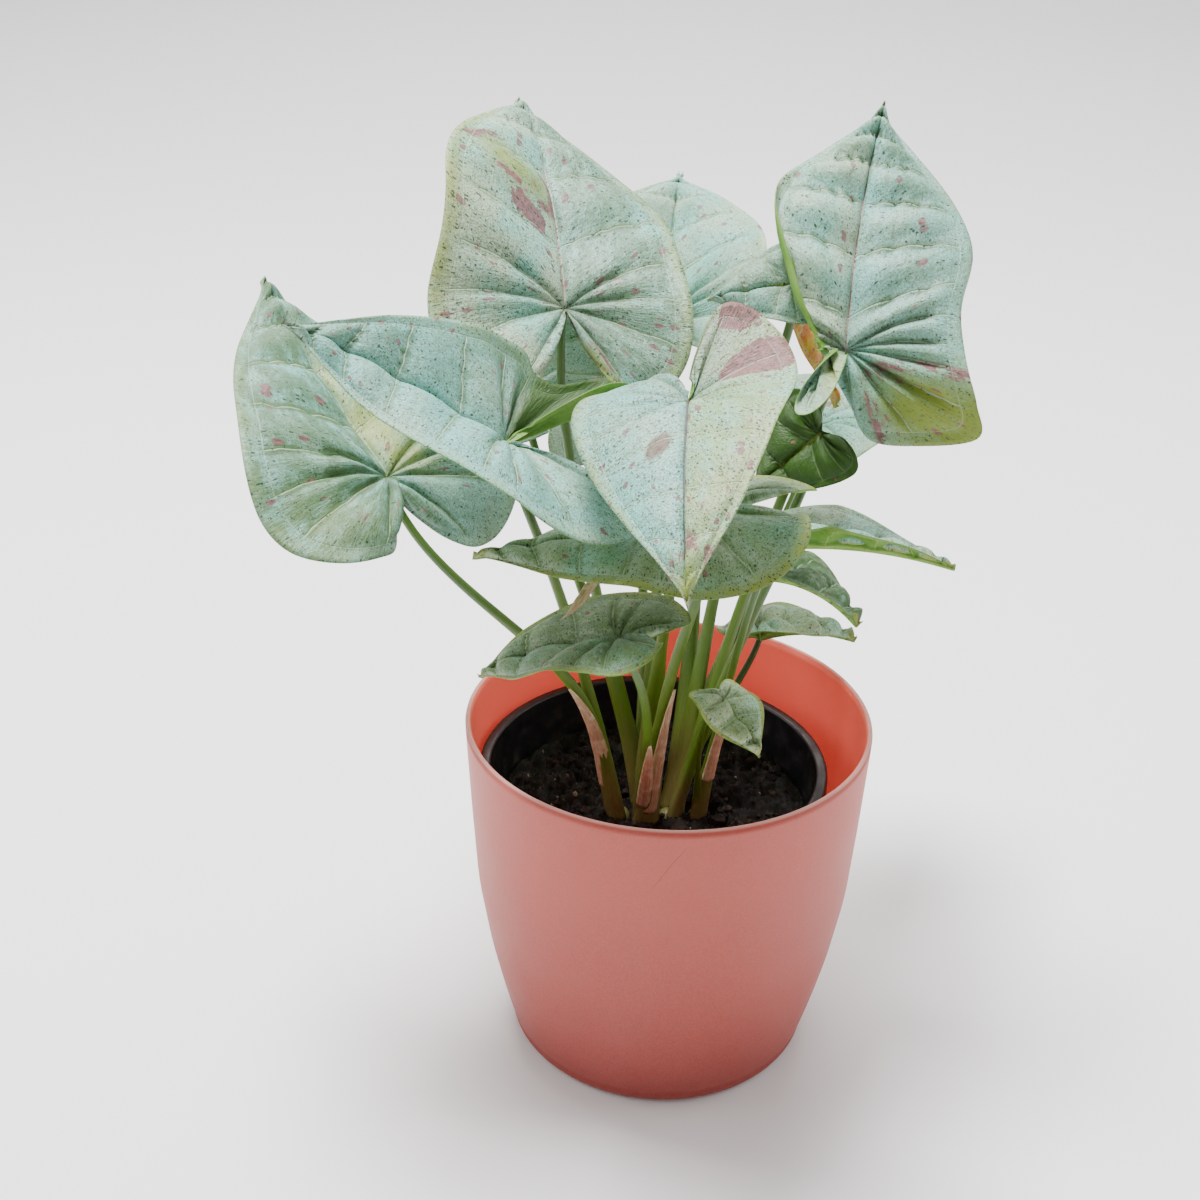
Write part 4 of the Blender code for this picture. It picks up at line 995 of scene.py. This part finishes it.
class Nodes:
    """Short ways to add shader nodes to one material, and to paint its coat of colours."""

    def __init__(self, name, ground):
        self.material = bpy.data.materials.new(name)
        self.material.use_nodes = True
        self.tree = self.material.node_tree
        self.shader = self.tree.nodes["Principled BSDF"]
        self.coat = tuple(ground)

    def link(self, value, socket):
        """Join a socket to another node's output, or set it to a number or colour."""
        if hasattr(value, "is_output"):
            self.tree.links.new(value, socket)
        elif socket.type == "RGBA" and len(value) == 3:
            socket.default_value = (*value, 1.0)
        else:
            socket.default_value = value

    def add(self, kind, inputs, **settings):
        node = self.tree.nodes.new("ShaderNode" + kind)
        for key, value in settings.items():
            setattr(node, key, value)
        for key, value in inputs.items():
            self.link(value, node.inputs[key])
        return node

    def math(self, operation, *values):
        """Numbers joined by one operation, from left to right."""
        total = values[0]
        for value in values[1:]:
            total = self.add("Math", {0: total, 1: value}, operation=operation).outputs[0]
        return total

    def times(self, *values):
        return self.math("MULTIPLY", *values)

    def plus(self, *values):
        return self.math("ADD", *values)

    def minus(self, a, b):
        return self.math("SUBTRACT", a, b)

    def most(self, *values):
        return self.math("MAXIMUM", *values)

    def positive(self, value):
        return self.math("ABSOLUTE", value, 0.0)

    def step(self, value, low, high, to_low=0.0, to_high=1.0):
        """Smooth change from one number to another while the value goes from low to high."""
        inputs = {0: value, 1: low, 2: high, 3: to_low, 4: to_high}
        return self.add("MapRange", inputs, interpolation_type="SMOOTHSTEP").outputs[0]

    def fade(self, value, low, high):
        return self.step(value, low, high, 1.0, 0.0)

    def mix(self, factor, a, b):
        return self.add("Mix", {0: factor, 6: a, 7: b}, data_type="RGBA").outputs[2]

    def paint(self, colour, mask):
        """Lay a colour over the coat where the mask is above 0."""
        self.coat = self.mix(mask, self.coat, colour)

    def share(self, name):
        return self.add("Attribute", {}, attribute_name=name).outputs["Fac"]

    def map(self, name):
        return self.add("UVMap", {}, uv_map=name).outputs[0]

    def place(self):
        return self.add("TexCoord", {}).outputs["Object"]

    def split(self, vector):
        return self.add("SeparateXYZ", {0: vector}).outputs

    def stretch(self, vector, scale):
        return self.add("Mapping", {"Vector": vector, "Scale": scale}).outputs[0]

    def noise(self, vector, scale, detail=3.0, roughness=0.5):
        inputs = {"Vector": vector, "Scale": scale, "Detail": detail, "Roughness": roughness}
        return self.add("TexNoise", inputs).outputs[0]

    def cells(self, vector, scale):
        """Distance to the nearest of many scattered points, and two random numbers of that point."""
        node = self.add("TexVoronoi", {"Vector": vector, "Scale": scale})
        lucky = self.add("SeparateColor", {0: node.outputs["Color"]}).outputs
        return node.outputs["Distance"], lucky[0], lucky[1]

    def bump(self, height, distance, strength):
        node = self.add("Bump", {"Height": height, "Distance": distance, "Strength": strength})
        self.link(node.outputs[0], self.shader.inputs["Normal"])

    def finish(self, roughness, levels=None):
        """Give the shader the coat, its roughness and any other levels, by socket name."""
        for name, value in {"Base Color": self.coat, "Roughness": roughness, **(levels or {})}.items():
            self.link(value, self.shader.inputs[name])
        return self.material


def vein_lines(n):
    """Masks of midrib, side veins, fine veins and edge vein, and of painted shade in the grooves at the
    side veins.

    Each is a step of the distance to the line in mm. A side vein's distance is the place among the
    veins, wobbled by a noise and folded at whole numbers, times the gap between two veins.
    """
    parts = n.split(n.map("vein_map"))
    across = n.positive(n.minus(n.times(parts[0], 2.0), 1.0))
    run = n.share("vein_run")
    wobble = n.times(n.minus(n.noise(n.map("flat_map"), 9.0, 2.0), 0.5), 0.14, n.step(across, 0.0, 0.3))
    place = n.plus(n.share("vein_place"), wobble)
    gap = n.math("DIVIDE", n.share("vein_gap"), n.share("vein_count"))
    distance = n.times(n.math("PINGPONG", place, 0.5), gap)
    inside = n.fade(across, EDGE_VEIN - 0.04, EDGE_VEIN + 0.06)
    laterals = n.times(n.fade(distance, 0.08, 0.42), inside)
    between = n.times(n.math("PINGPONG", n.plus(place, 0.5), 0.5), gap)
    fine = n.times(
        n.step(between, 0.05, 0.35, 0.45, 0.0), n.step(across, 0.1, 0.3), n.fade(across, 0.5, 0.75))
    rib_width = n.step(parts[1], 0.0, 0.4, 0.35, 0.95)
    rib = n.minus(1.0, n.step(n.math("DIVIDE", n.times(across, run), rib_width), 0.45, 1.0))
    edge = n.step(n.times(n.positive(n.minus(across, EDGE_VEIN)), run), 0.08, 0.45, 0.6, 0.0)
    # Painted shade in the grooves at the side veins, where the swelling between two veins leaves shade.
    groove_shade = n.times(n.fade(distance, 0.2, 2.6), n.step(across, 0.02, 0.15), inside, n.step(gap, 2.5, 7.0))
    return rib, laterals, fine, edge, groove_shade


def paint_ground(n, settings, flat):
    """Bluer clouds, partly the blade's own tone and partly a painted reflection of a blue sky, creamier
    clouds over the mint, and a fine pale and dark stipple.
    """
    n.paint(settings.cream, n.times(n.step(n.noise(flat, 3.6, 3.0), 0.34, 0.58), 0.85))
    # Bluer clouds: partly the blade's own tone and partly a painted reflection of a blue sky.
    blue = n.step(n.noise(flat, 5.1, 2.0), 0.25, 0.6, 0.55, 1.0)
    n.paint(settings.blue_mint_and_sky, n.times(n.share("blue"), blue))
    n.paint(settings.sage, n.step(n.noise(flat, 42.0, 4.0, 0.7), 0.36, 0.50, 0.5, 0.0))
    stipple = n.noise(flat, 150.0, 4.0, 0.8)
    n.paint(TINTS["pale_stipple"], n.step(stipple, 0.50, 0.66, 0.0, 0.75))
    n.paint(TINTS["dark_stipple"], n.step(stipple, 0.34, 0.50, 0.85, 0.0))


def paint_greens(n, settings, flat, streaks, cloud, groove_shade):
    """Darker ground and sage in the grooves at the side veins, both partly painted shade; sage, warm, olive
    and plain green fields, and the yellow of an old blade.
    """
    # Painted shade, partly the blade's own darker green: a darker ground set per blade half, strongest
    # where a blade hangs in shadow and in the grooves at the side veins.
    darker_green_and_shade = n.share("leaf_dusk")
    shade = n.times(darker_green_and_shade, n.step(n.noise(streaks, 0.9, 4.0, 0.65), 0.36, 0.60, 0.15, 1.15))
    n.paint(settings.darker_green_and_shade, n.plus(shade, n.times(groove_shade, darker_green_and_shade, 0.6)))
    grainy = n.step(n.noise(flat, 90.0, 4.0, 0.8), 0.35, 0.6, 0.55, 1.0)
    field = n.times(n.share("sage"), n.step(cloud, 0.25, 0.60, 0.4, 1.0))
    # Sage in the grooves at the side veins: partly the blade's own green and partly painted shade.
    shaded_groove = n.times(groove_shade, n.plus(n.times(n.share("leaf_sage"), 0.8), 0.25))
    shaded_groove = n.times(shaded_groove, n.step(cloud, 0.3, 0.6, 0.35, 1.0))
    n.paint(settings.sage, n.times(n.most(field, shaded_groove), grainy))
    n.paint(TINTS["warm_green"], n.times(n.share("warm"), n.step(cloud, 0.3, 0.6, 0.45, 1.0)))
    olive = n.times(n.share("olive"), n.step(cloud, 0.2, 0.55, 0.6, 1.0))
    n.paint(settings.olive, n.times(olive, n.step(grainy, 0.5, 1.0, 0.8, 1.0)))
    leafy = n.most(n.share("leaf_green"), n.share("leafy"))
    n.paint(n.mix(cloud, settings.leaf_green, TINTS["fresh_green"]), leafy)
    old = n.mix(n.step(cloud, 0.4, 0.6), settings.yellow, TINTS["rust"])
    n.paint(old, n.share("leaf_yellow"))
    return leafy


def pink_blots(n, streaks):
    """Mask of pink blots: ragged cells drawn out along the side veins, in some places only."""
    distance, chance, _ = n.cells(n.stretch(streaks, (0.85, 1.7, 1.0)), 1.0)
    amount = n.step(n.plus(chance, n.times(n.share("leaf_pink"), 0.34)), 0.93, 0.97)
    ragged = n.plus(distance, n.times(n.noise(streaks, 3.6, 3.0), 0.35))
    return n.times(n.step(ragged, 0.42, 0.50, 0.9, 0.0), amount)


def paint_pinks(n, settings, flat, streaks, cloud):
    """Pink blots, patches with torn edges and a broken rim round the olive, and maroon spots."""
    torn = n.times(n.minus(n.noise(streaks, 2.4, 4.0, 0.7), 0.5), 0.9)
    patch = n.step(n.plus(n.share("pink"), torn), 0.48, 0.56)
    olive = n.share("olive")
    rim = n.times(n.step(olive, 0.18, 0.30), n.fade(olive, 0.42, 0.6))
    blot = n.most(pink_blots(n, streaks), n.times(rim, n.step(cloud, 0.47, 0.52)), patch)
    rosy = n.mix(n.step(n.noise(flat, 40.0, 3.0), 0.35, 0.65), settings.pink, TINTS["rose"])
    n.paint(rosy, n.times(blot, 0.85))
    n.paint(TINTS["maroon"], n.step(n.share("maroon"), 0.4, 0.7, 0.0, 0.8))


def paint_veins(n, settings, lines, leafy):
    """Pale veins, fainter on plain green, and a midrib that is green, pale or dark by the blade."""
    rib, laterals, fine, edge, _ = lines
    line = n.most(laterals, n.most(n.times(edge, 0.7), n.times(fine, 0.5)))
    n.paint(settings.vein, n.times(line, n.step(leafy, 0.0, 1.0, 0.6, 0.16)))
    tone = n.share("leaf_rosy_rib")
    colour = n.mix(n.step(tone, 0.1, 0.5), TINTS["green_rib"], TINTS["pale_rib"])
    n.paint(n.mix(n.step(tone, 0.6, 1.0), colour, TINTS["dark_rib"]), n.times(rib, 0.9))


def dark_specks(n, flat, streaks):
    """Mask of dark green specks: round ones of three sizes and dashes along the side veins."""
    amount = n.share("leaf_speckled")
    dashes = n.stretch(streaks, (1.0, 3.2, 1.0))
    mask = 0.0
    for vector, (scale, radius, share, strength) in zip((flat, flat, flat, dashes), SPECKS):
        distance, lucky, size = n.cells(vector, scale)
        chosen = n.step(n.minus(n.times(amount, share), lucky), 0.0, 0.02)
        radius = n.step(size, 0.0, 1.0, 0.35 * radius, radius)
        mask = n.most(mask, n.times(chosen, n.step(n.minus(distance, radius), -0.03, 0.07, strength, 0.0)))
    return mask


def blade_upper(settings):
    """Mint and cream ground, sage fields, olive tips, pink patches, dark specks and pale veins."""
    n = Nodes("blade_upper", settings.mint)
    lines = vein_lines(n)
    flat = n.map("flat_map")
    spread = n.add("CombineXYZ", {2: n.times(n.share("leaf_seed"), 5.37)}).outputs[0]
    streaks = n.stretch(n.map("vein_map"), (16.0, 34.0, 1.0))
    streaks = n.add("VectorMath", {0: streaks, 1: spread}, operation="ADD").outputs[0]
    cloud = n.noise(n.stretch(streaks, (0.3, 0.5, 1.0)), 1.6, 3.0, 0.6)
    paint_ground(n, settings, flat)
    leafy = paint_greens(n, settings, flat, streaks, cloud, lines[4])
    paint_pinks(n, settings, flat, streaks, cloud)
    paint_veins(n, settings, lines, leafy)
    n.paint(TINTS["speck"], dark_specks(n, flat, streaks))
    fine = n.times(n.noise(flat, 240.0, 3.0, 0.6), 0.12)
    coarse = n.times(n.noise(n.stretch(streaks, (1.0, 3.0, 1.0)), 1.7, 3.0, 0.55), 0.8)
    grooves = n.times(n.most(lines[1], lines[3]), 0.4)
    n.bump(n.minus(n.plus(fine, coarse), grooves), 0.0006, 0.8)
    return n.finish(n.step(n.noise(flat, 30.0), 0.3, 0.7, 0.40, 0.55), LEAF_SHINE)


def blade_underside(settings):
    """Yellow-green lower face with paler raised veins."""
    n = Nodes("blade_underside", settings.underside)
    rib, laterals, _, edge, _ = vein_lines(n)
    flat = n.map("flat_map")
    n.paint(TINTS["lime"], n.step(n.noise(flat, 7.0, 4.0), 0.3, 0.7))
    n.paint(TINTS["deep_green"], n.times(n.share("leaf_green"), 0.7))
    n.paint(settings.yellow, n.share("leaf_yellow"))
    line = n.most(rib, n.most(laterals, n.times(edge, 0.8)))
    n.paint(TINTS["under_vein"], n.times(line, 0.5))
    distance, _, _ = n.cells(flat, 110.0)
    n.paint(TINTS["under_speck"], n.step(distance, 0.1, 0.25, 0.35, 0.0))
    n.bump(n.plus(n.times(line, 0.5), n.noise(flat, 200.0, 3.0)), 0.0004, 0.6)
    return n.finish(0.5, LEAF_SHINE)


def stalk_material(settings):
    """Pale foot, yellow-green middle and green top, with fine streaks along the stalk."""
    n = Nodes("petiole", settings.base_colour)
    share = n.share("stalk_share")
    streaks = n.noise(n.stretch(n.map("stalk_map"), (9.0, 1.2, 1.0)), 3.0, 4.0, 0.6)
    place = n.plus(share, n.times(n.minus(streaks, 0.5), 0.25))
    n.paint(settings.middle_colour, n.step(place, 0.04, 0.26))
    n.paint(settings.top_colour, n.step(place, 0.35, 0.85))
    n.paint(TINTS["stalk_streak"], n.step(streaks, 0.45, 0.75, 0.0, 0.45))
    blush = n.step(n.noise(n.place(), 90.0, 2.0), 0.55, 0.7)
    n.paint(TINTS["stalk_blush"], n.times(blush, n.step(share, 0.0, 0.2, 0.55, 0.0)))
    n.bump(streaks, 0.0003, 0.6)
    return n.finish(0.38)


def sheath_material(settings):
    """Dry papery beige with brown streaks along it."""
    n = Nodes("dry_sheath_paper", settings.dry_colour)
    streaks = n.noise(n.stretch(n.map("stalk_map"), (7.0, 1.5, 1.0)), 3.0, 5.0, 0.65)
    n.paint(TINTS["paper_streak"], n.step(streaks, 0.35, 0.65))
    n.paint(TINTS["paper_fleck"], n.step(n.noise(n.place(), 240.0, 3.0), 0.5, 0.7, 0.0, 0.6))
    n.bump(streaks, 0.0005, 0.8)
    return n.finish(0.78)


def planter_scratch(n, place, x, y, z):
    """Mask of one fine slanted scratch on the front of the wall, a little under the rim."""
    wander = n.times(n.minus(n.noise(place, 60.0, 3.0), 0.5), 0.002)
    aside = n.minus(n.plus(n.times(x, -0.84), n.times(z, 0.54), wander), 0.0661)
    line = n.fade(n.positive(aside), 0.0, 0.00028)
    return n.times(line, n.fade(y, -0.06, -0.055), n.step(z, 0.110, 0.116), n.fade(z, 0.126, 0.131))


def planter_material(settings):
    """Matte moulded plastic: fine grain, faint clouds and a scratch, with painted shade towards the foot, a
    painted highlight along the top of the rim, and painted light on the inside, a brighter colour and a
    faint glow that stand for light shining through the wall.
    """
    n = Nodes("planter_plastic", settings.colour)
    place = n.place()
    x, y, z = n.split(place)
    inner = n.share("inner")
    cloud = n.noise(place, 18.0, 4.0, 0.6)
    grain = n.noise(place, 1400.0, 2.0, 0.6)
    n.paint(TINTS["chalky_coral"], n.step(cloud, 0.3, 0.7, 0.0, 0.25))
    # Painted light: the inside is brighter than the outside, as if lit by light shining through the wall.
    n.paint(settings.lit_inner_colour, inner)
    # Painted shade: the outside grows darker towards the foot, where less light falls.
    n.paint(TINTS["painted_shade_coral"], n.step(z, 0.0, 0.125, 0.85, 0.0))
    n.paint(TINTS["pale_grain"], n.step(grain, 0.35, 0.65, 0.0, 0.10))
    n.paint(TINTS["scratch"], n.times(planter_scratch(n, place, x, y, z), 0.5))
    # Painted highlight: a pale band along the top of the rim, where the light catches it.
    n.paint(TINTS["painted_rim_highlight"], n.times(n.step(z, 0.1353, 0.1360), 0.55))
    n.bump(grain, 0.00012, 0.5)
    # Painted light: a faint glow on the inside also stands for light shining through the wall.
    return n.finish(n.step(cloud, 0.3, 0.7, 0.48, 0.60), {
        "Emission Color": TINTS["painted_glow"], "Emission Strength": n.times(inner, 0.22),
        "Subsurface Weight": 0.6, "Subsurface Radius": (1.0, 0.3, 0.2), "Subsurface Scale": 0.004})


def pot_material(settings):
    """Black moulded plastic, dusty where soil has brushed it."""
    n = Nodes("nursery_pot_plastic", settings.colour)
    place = n.place()
    height = n.split(place)[2]
    dust = n.noise(place, 140.0, 5.0, 0.65)
    n.paint(TINTS["pot_dust"], n.times(n.step(dust, 0.5, 0.68), n.step(height, 0.096, 0.112, 1.0, 0.15)))
    n.bump(n.noise(place, 900.0, 2.0), 0.0001, 0.4)
    return n.finish(n.step(dust, 0.4, 0.7, 0.32, 0.6))


def soil_material(settings):
    """Moist dark crumb with drier brown fibres and a few pale flecks."""
    n = Nodes("potting_soil", settings.colour)
    place = n.place()
    patch = n.noise(place, 110.0, 5.0, 0.7)
    n.paint(settings.dry_colour, n.step(patch, 0.48, 0.72))
    distance, pick, _ = n.cells(place, 420.0)
    n.paint(TINTS["soil_fleck"], n.times(n.fade(distance, 0.2, 0.35), n.step(pick, 0.93, 0.95), 0.8))
    n.bump(n.noise(place, 700.0, 6.0, 0.75), 0.0012, 1.0)
    return n.finish(n.step(patch, 0.4, 0.7, 0.72, 0.95))


def crumb_material(settings):
    """Crumbs from moist to dry, each in one tone, and a few pale ones."""
    n = Nodes("soil_crumb", settings.colour)
    tone = n.share("crumb_tone")
    n.paint(settings.dry_colour, n.step(tone, 0.2, 0.9))
    n.paint(TINTS["pale_crumb"], n.step(tone, 0.965, 0.97))
    n.bump(n.noise(n.place(), 900.0, 5.0, 0.7), 0.0006, 1.0)
    return n.finish(0.88)


# Stage


def make_floor(settings):
    """Floor that rises into a backdrop: a flat sheet, then a quarter circle, then a wall."""
    front, back, curve, top, half_width = -4.0, 3.0, 1.2, 5.0, 6.0
    angle = np.linspace(0, np.pi / 2, 24)
    bend = np.column_stack([back + curve * np.sin(angle), curve - curve * np.cos(angle)])
    profile = np.vstack([[(front, 0.0), (0.0, 0.0)], bend, [(back + curve, top)]]) / MM
    x = np.tile(np.array([-half_width, half_width]) / MM, (len(profile), 1))
    y, z = (np.tile(profile[:, k:k + 1], (1, 2)) for k in range(2))
    points = np.stack([x, y, z], axis=-1).reshape(-1, 3)
    paper = Nodes("floor_paper", settings.floor_colour).finish(0.85)
    new_piece("floor", points, grid_triangles(len(profile), 2, flip=True), [paper])


def make_lights(settings):
    """Area lights, each turned to its aim, and an even pale world."""
    for name, power_name, size, place, aim in LIGHTS:
        data = bpy.data.lights.new(name, "AREA")
        data.energy = getattr(settings, power_name)
        data.size = size
        light = bpy.data.objects.new(name, data)
        bpy.context.scene.collection.objects.link(light)
        light.location = place
        light.rotation_mode = "QUATERNION"
        light.rotation_quaternion = (Vector(aim) - Vector(place)).to_track_quat("-Z", "Y")
    world = bpy.data.worlds.new("studio_air")
    bpy.context.scene.world = world
    world.use_nodes = True
    air = world.node_tree.nodes["Background"]
    air.inputs[0].default_value = (1.0, 1.0, 1.0, 1.0)
    air.inputs[1].default_value = AIR_STRENGTH


def make_camera():
    data = bpy.data.cameras.new("camera")
    data.lens = CAMERA_LENS
    data.sensor_width = CAMERA_SENSOR
    camera = bpy.data.objects.new("camera", data)
    bpy.context.scene.collection.objects.link(camera)
    tilt = Matrix.Rotation(math.radians(CAMERA_TILT), 4, "X")
    roll = Matrix.Rotation(math.radians(CAMERA_ROLL), 4, "Z")
    camera.matrix_world = Matrix.Translation(CAMERA_PLACE) @ tilt @ roll
    bpy.context.scene.camera = camera


# Operators


class ARROWHEAD_OT_planter(Operator):
    """Make the coral planter"""

    bl_idname = "arrowhead.planter"
    bl_label = "Planter"

    def execute(self, context):
        settings = context.scene.arrowhead_planter
        piece = turned_piece("planter_shell", planter_profile(settings), 192, planter_material(settings))
        points = np.empty(len(piece.data.vertices) * 3, np.float32)
        piece.data.vertices.foreach_get("co", points)
        x, y, z = points.reshape(-1, 3).T / MM
        outer = smooth_wall(np.clip(z, 5, PLANTER_HEIGHT - 1)) * settings.rim_radius / MM / PLANTER_RIM
        add_share(piece, "inner", (np.hypot(x, y) < outer - 1.2) & (z > 2.0))
        finish_piece(piece, "planter", "planter")
        return {"FINISHED"}


class ARROWHEAD_OT_nursery_pot(Operator):
    """Make the black nursery pot"""

    bl_idname = "arrowhead.nursery_pot"
    bl_label = "Nursery pot"

    def execute(self, context):
        settings = context.scene.arrowhead_pot
        profile = pot_profile(settings)
        piece = turned_piece("grow_pot", profile, 160, pot_material(settings), POT_CENTRE, POT_BASE)
        finish_piece(piece, "nursery_pot", "nursery_pot")
        return {"FINISHED"}


class ARROWHEAD_OT_soil(Operator):
    """Make the soil bed and its loose crumbs"""

    bl_idname = "arrowhead.soil"
    bl_label = "Soil"

    def execute(self, context):
        settings = context.scene.arrowhead_soil
        make_soil_bed(settings, soil_material(settings))
        make_crumbs(settings, crumb_material(settings))
        return {"FINISHED"}


class ARROWHEAD_OT_petioles(Operator):
    """Make every plantlet's stem and petioles"""

    bl_idname = "arrowhead.petioles"
    bl_label = "Petioles"

    def execute(self, context):
        material = stalk_material(context.scene.arrowhead_stalk)
        for name, plantlet in PLANTLETS.items():
            leaves = [leaf_values(leaf) for leaf in LEAVES.values() if leaf["plantlet"] == name]
            make_petioles(name, plantlet, leaves, material)
        return {"FINISHED"}


class ARROWHEAD_OT_blades(Operator):
    """Make every leaf blade"""

    bl_idname = "arrowhead.blades"
    bl_label = "Blades"

    def execute(self, context):
        settings = context.scene.arrowhead_blade
        materials = [blade_upper(settings), blade_underside(settings)]
        for number, (name, leaf) in enumerate(LEAVES.items()):
            make_blade(name, leaf_values(leaf), number + 1, settings, materials)
        return {"FINISHED"}


class ARROWHEAD_OT_sheaths(Operator):
    """Make the dry sheaths round the foot of the clump"""

    bl_idname = "arrowhead.sheaths"
    bl_label = "Dry sheaths"

    def execute(self, context):
        material = sheath_material(context.scene.arrowhead_stalk)
        for number, (name, sheath) in enumerate(SHEATHS.items()):
            leaf = leaf_values(LEAVES[sheath["leaf"]])
            make_sheath(name, sheath, leaf, PLANTLETS[leaf["plantlet"]]["foot"], number + 40, material)
        make_dry_shoot(DRY_SHOOT, material)
        return {"FINISHED"}


class ARROWHEAD_OT_stage(Operator):
    """Make the floor, the lights and the camera"""

    bl_idname = "arrowhead.stage"
    bl_label = "Stage"

    def execute(self, context):
        settings = context.scene.arrowhead_stage
        make_floor(settings)
        make_lights(settings)
        make_camera()
        return {"FINISHED"}


class ARROWHEAD_PT_panel(Panel):
    """Lists the settings of each group of pieces and the operators that make them"""

    bl_label = "Arrowhead plant"
    bl_idname = "ARROWHEAD_PT_panel"
    bl_space_type = "VIEW_3D"
    bl_region_type = "UI"
    bl_category = "Arrowhead"

    def draw(self, context):
        for group, (_, operators) in GROUPS.items():
            box = self.layout.box()
            settings = getattr(context.scene, "arrowhead_" + group)
            for name in settings.bl_rna.properties.keys():
                if name not in ("rna_type", "name"):
                    box.prop(settings, name)
            for each in operators:
                box.operator("arrowhead." + each)


# Settings and operators of each group of pieces, in the order in which they are made
GROUPS = {
    "planter": (PlanterSettings, ("planter",)), "pot": (PotSettings, ("nursery_pot",)),
    "soil": (SoilSettings, ("soil",)), "blade": (BladeSettings, ("blades",)),
    "stalk": (StalkSettings, ("petioles", "sheaths")), "stage": (StageSettings, ("stage",)),
}

CLASSES = (
    *(settings for settings, _ in GROUPS.values()), ARROWHEAD_OT_planter, ARROWHEAD_OT_nursery_pot,
    ARROWHEAD_OT_soil, ARROWHEAD_OT_petioles, ARROWHEAD_OT_blades, ARROWHEAD_OT_sheaths, ARROWHEAD_OT_stage,
    ARROWHEAD_PT_panel)


def register():
    for each in CLASSES:
        bpy.utils.register_class(each)
    for name, (settings, _) in GROUPS.items():
        setattr(bpy.types.Scene, "arrowhead_" + name, PointerProperty(type=settings))


def unregister():
    for name in GROUPS:
        delattr(bpy.types.Scene, "arrowhead_" + name)
    for each in reversed(CLASSES):
        bpy.utils.unregister_class(each)


def main():
    register()
    for _, operators in GROUPS.values():
        for name in operators:
            getattr(bpy.ops.arrowhead, name)()


if __name__ == "__main__":
    main()
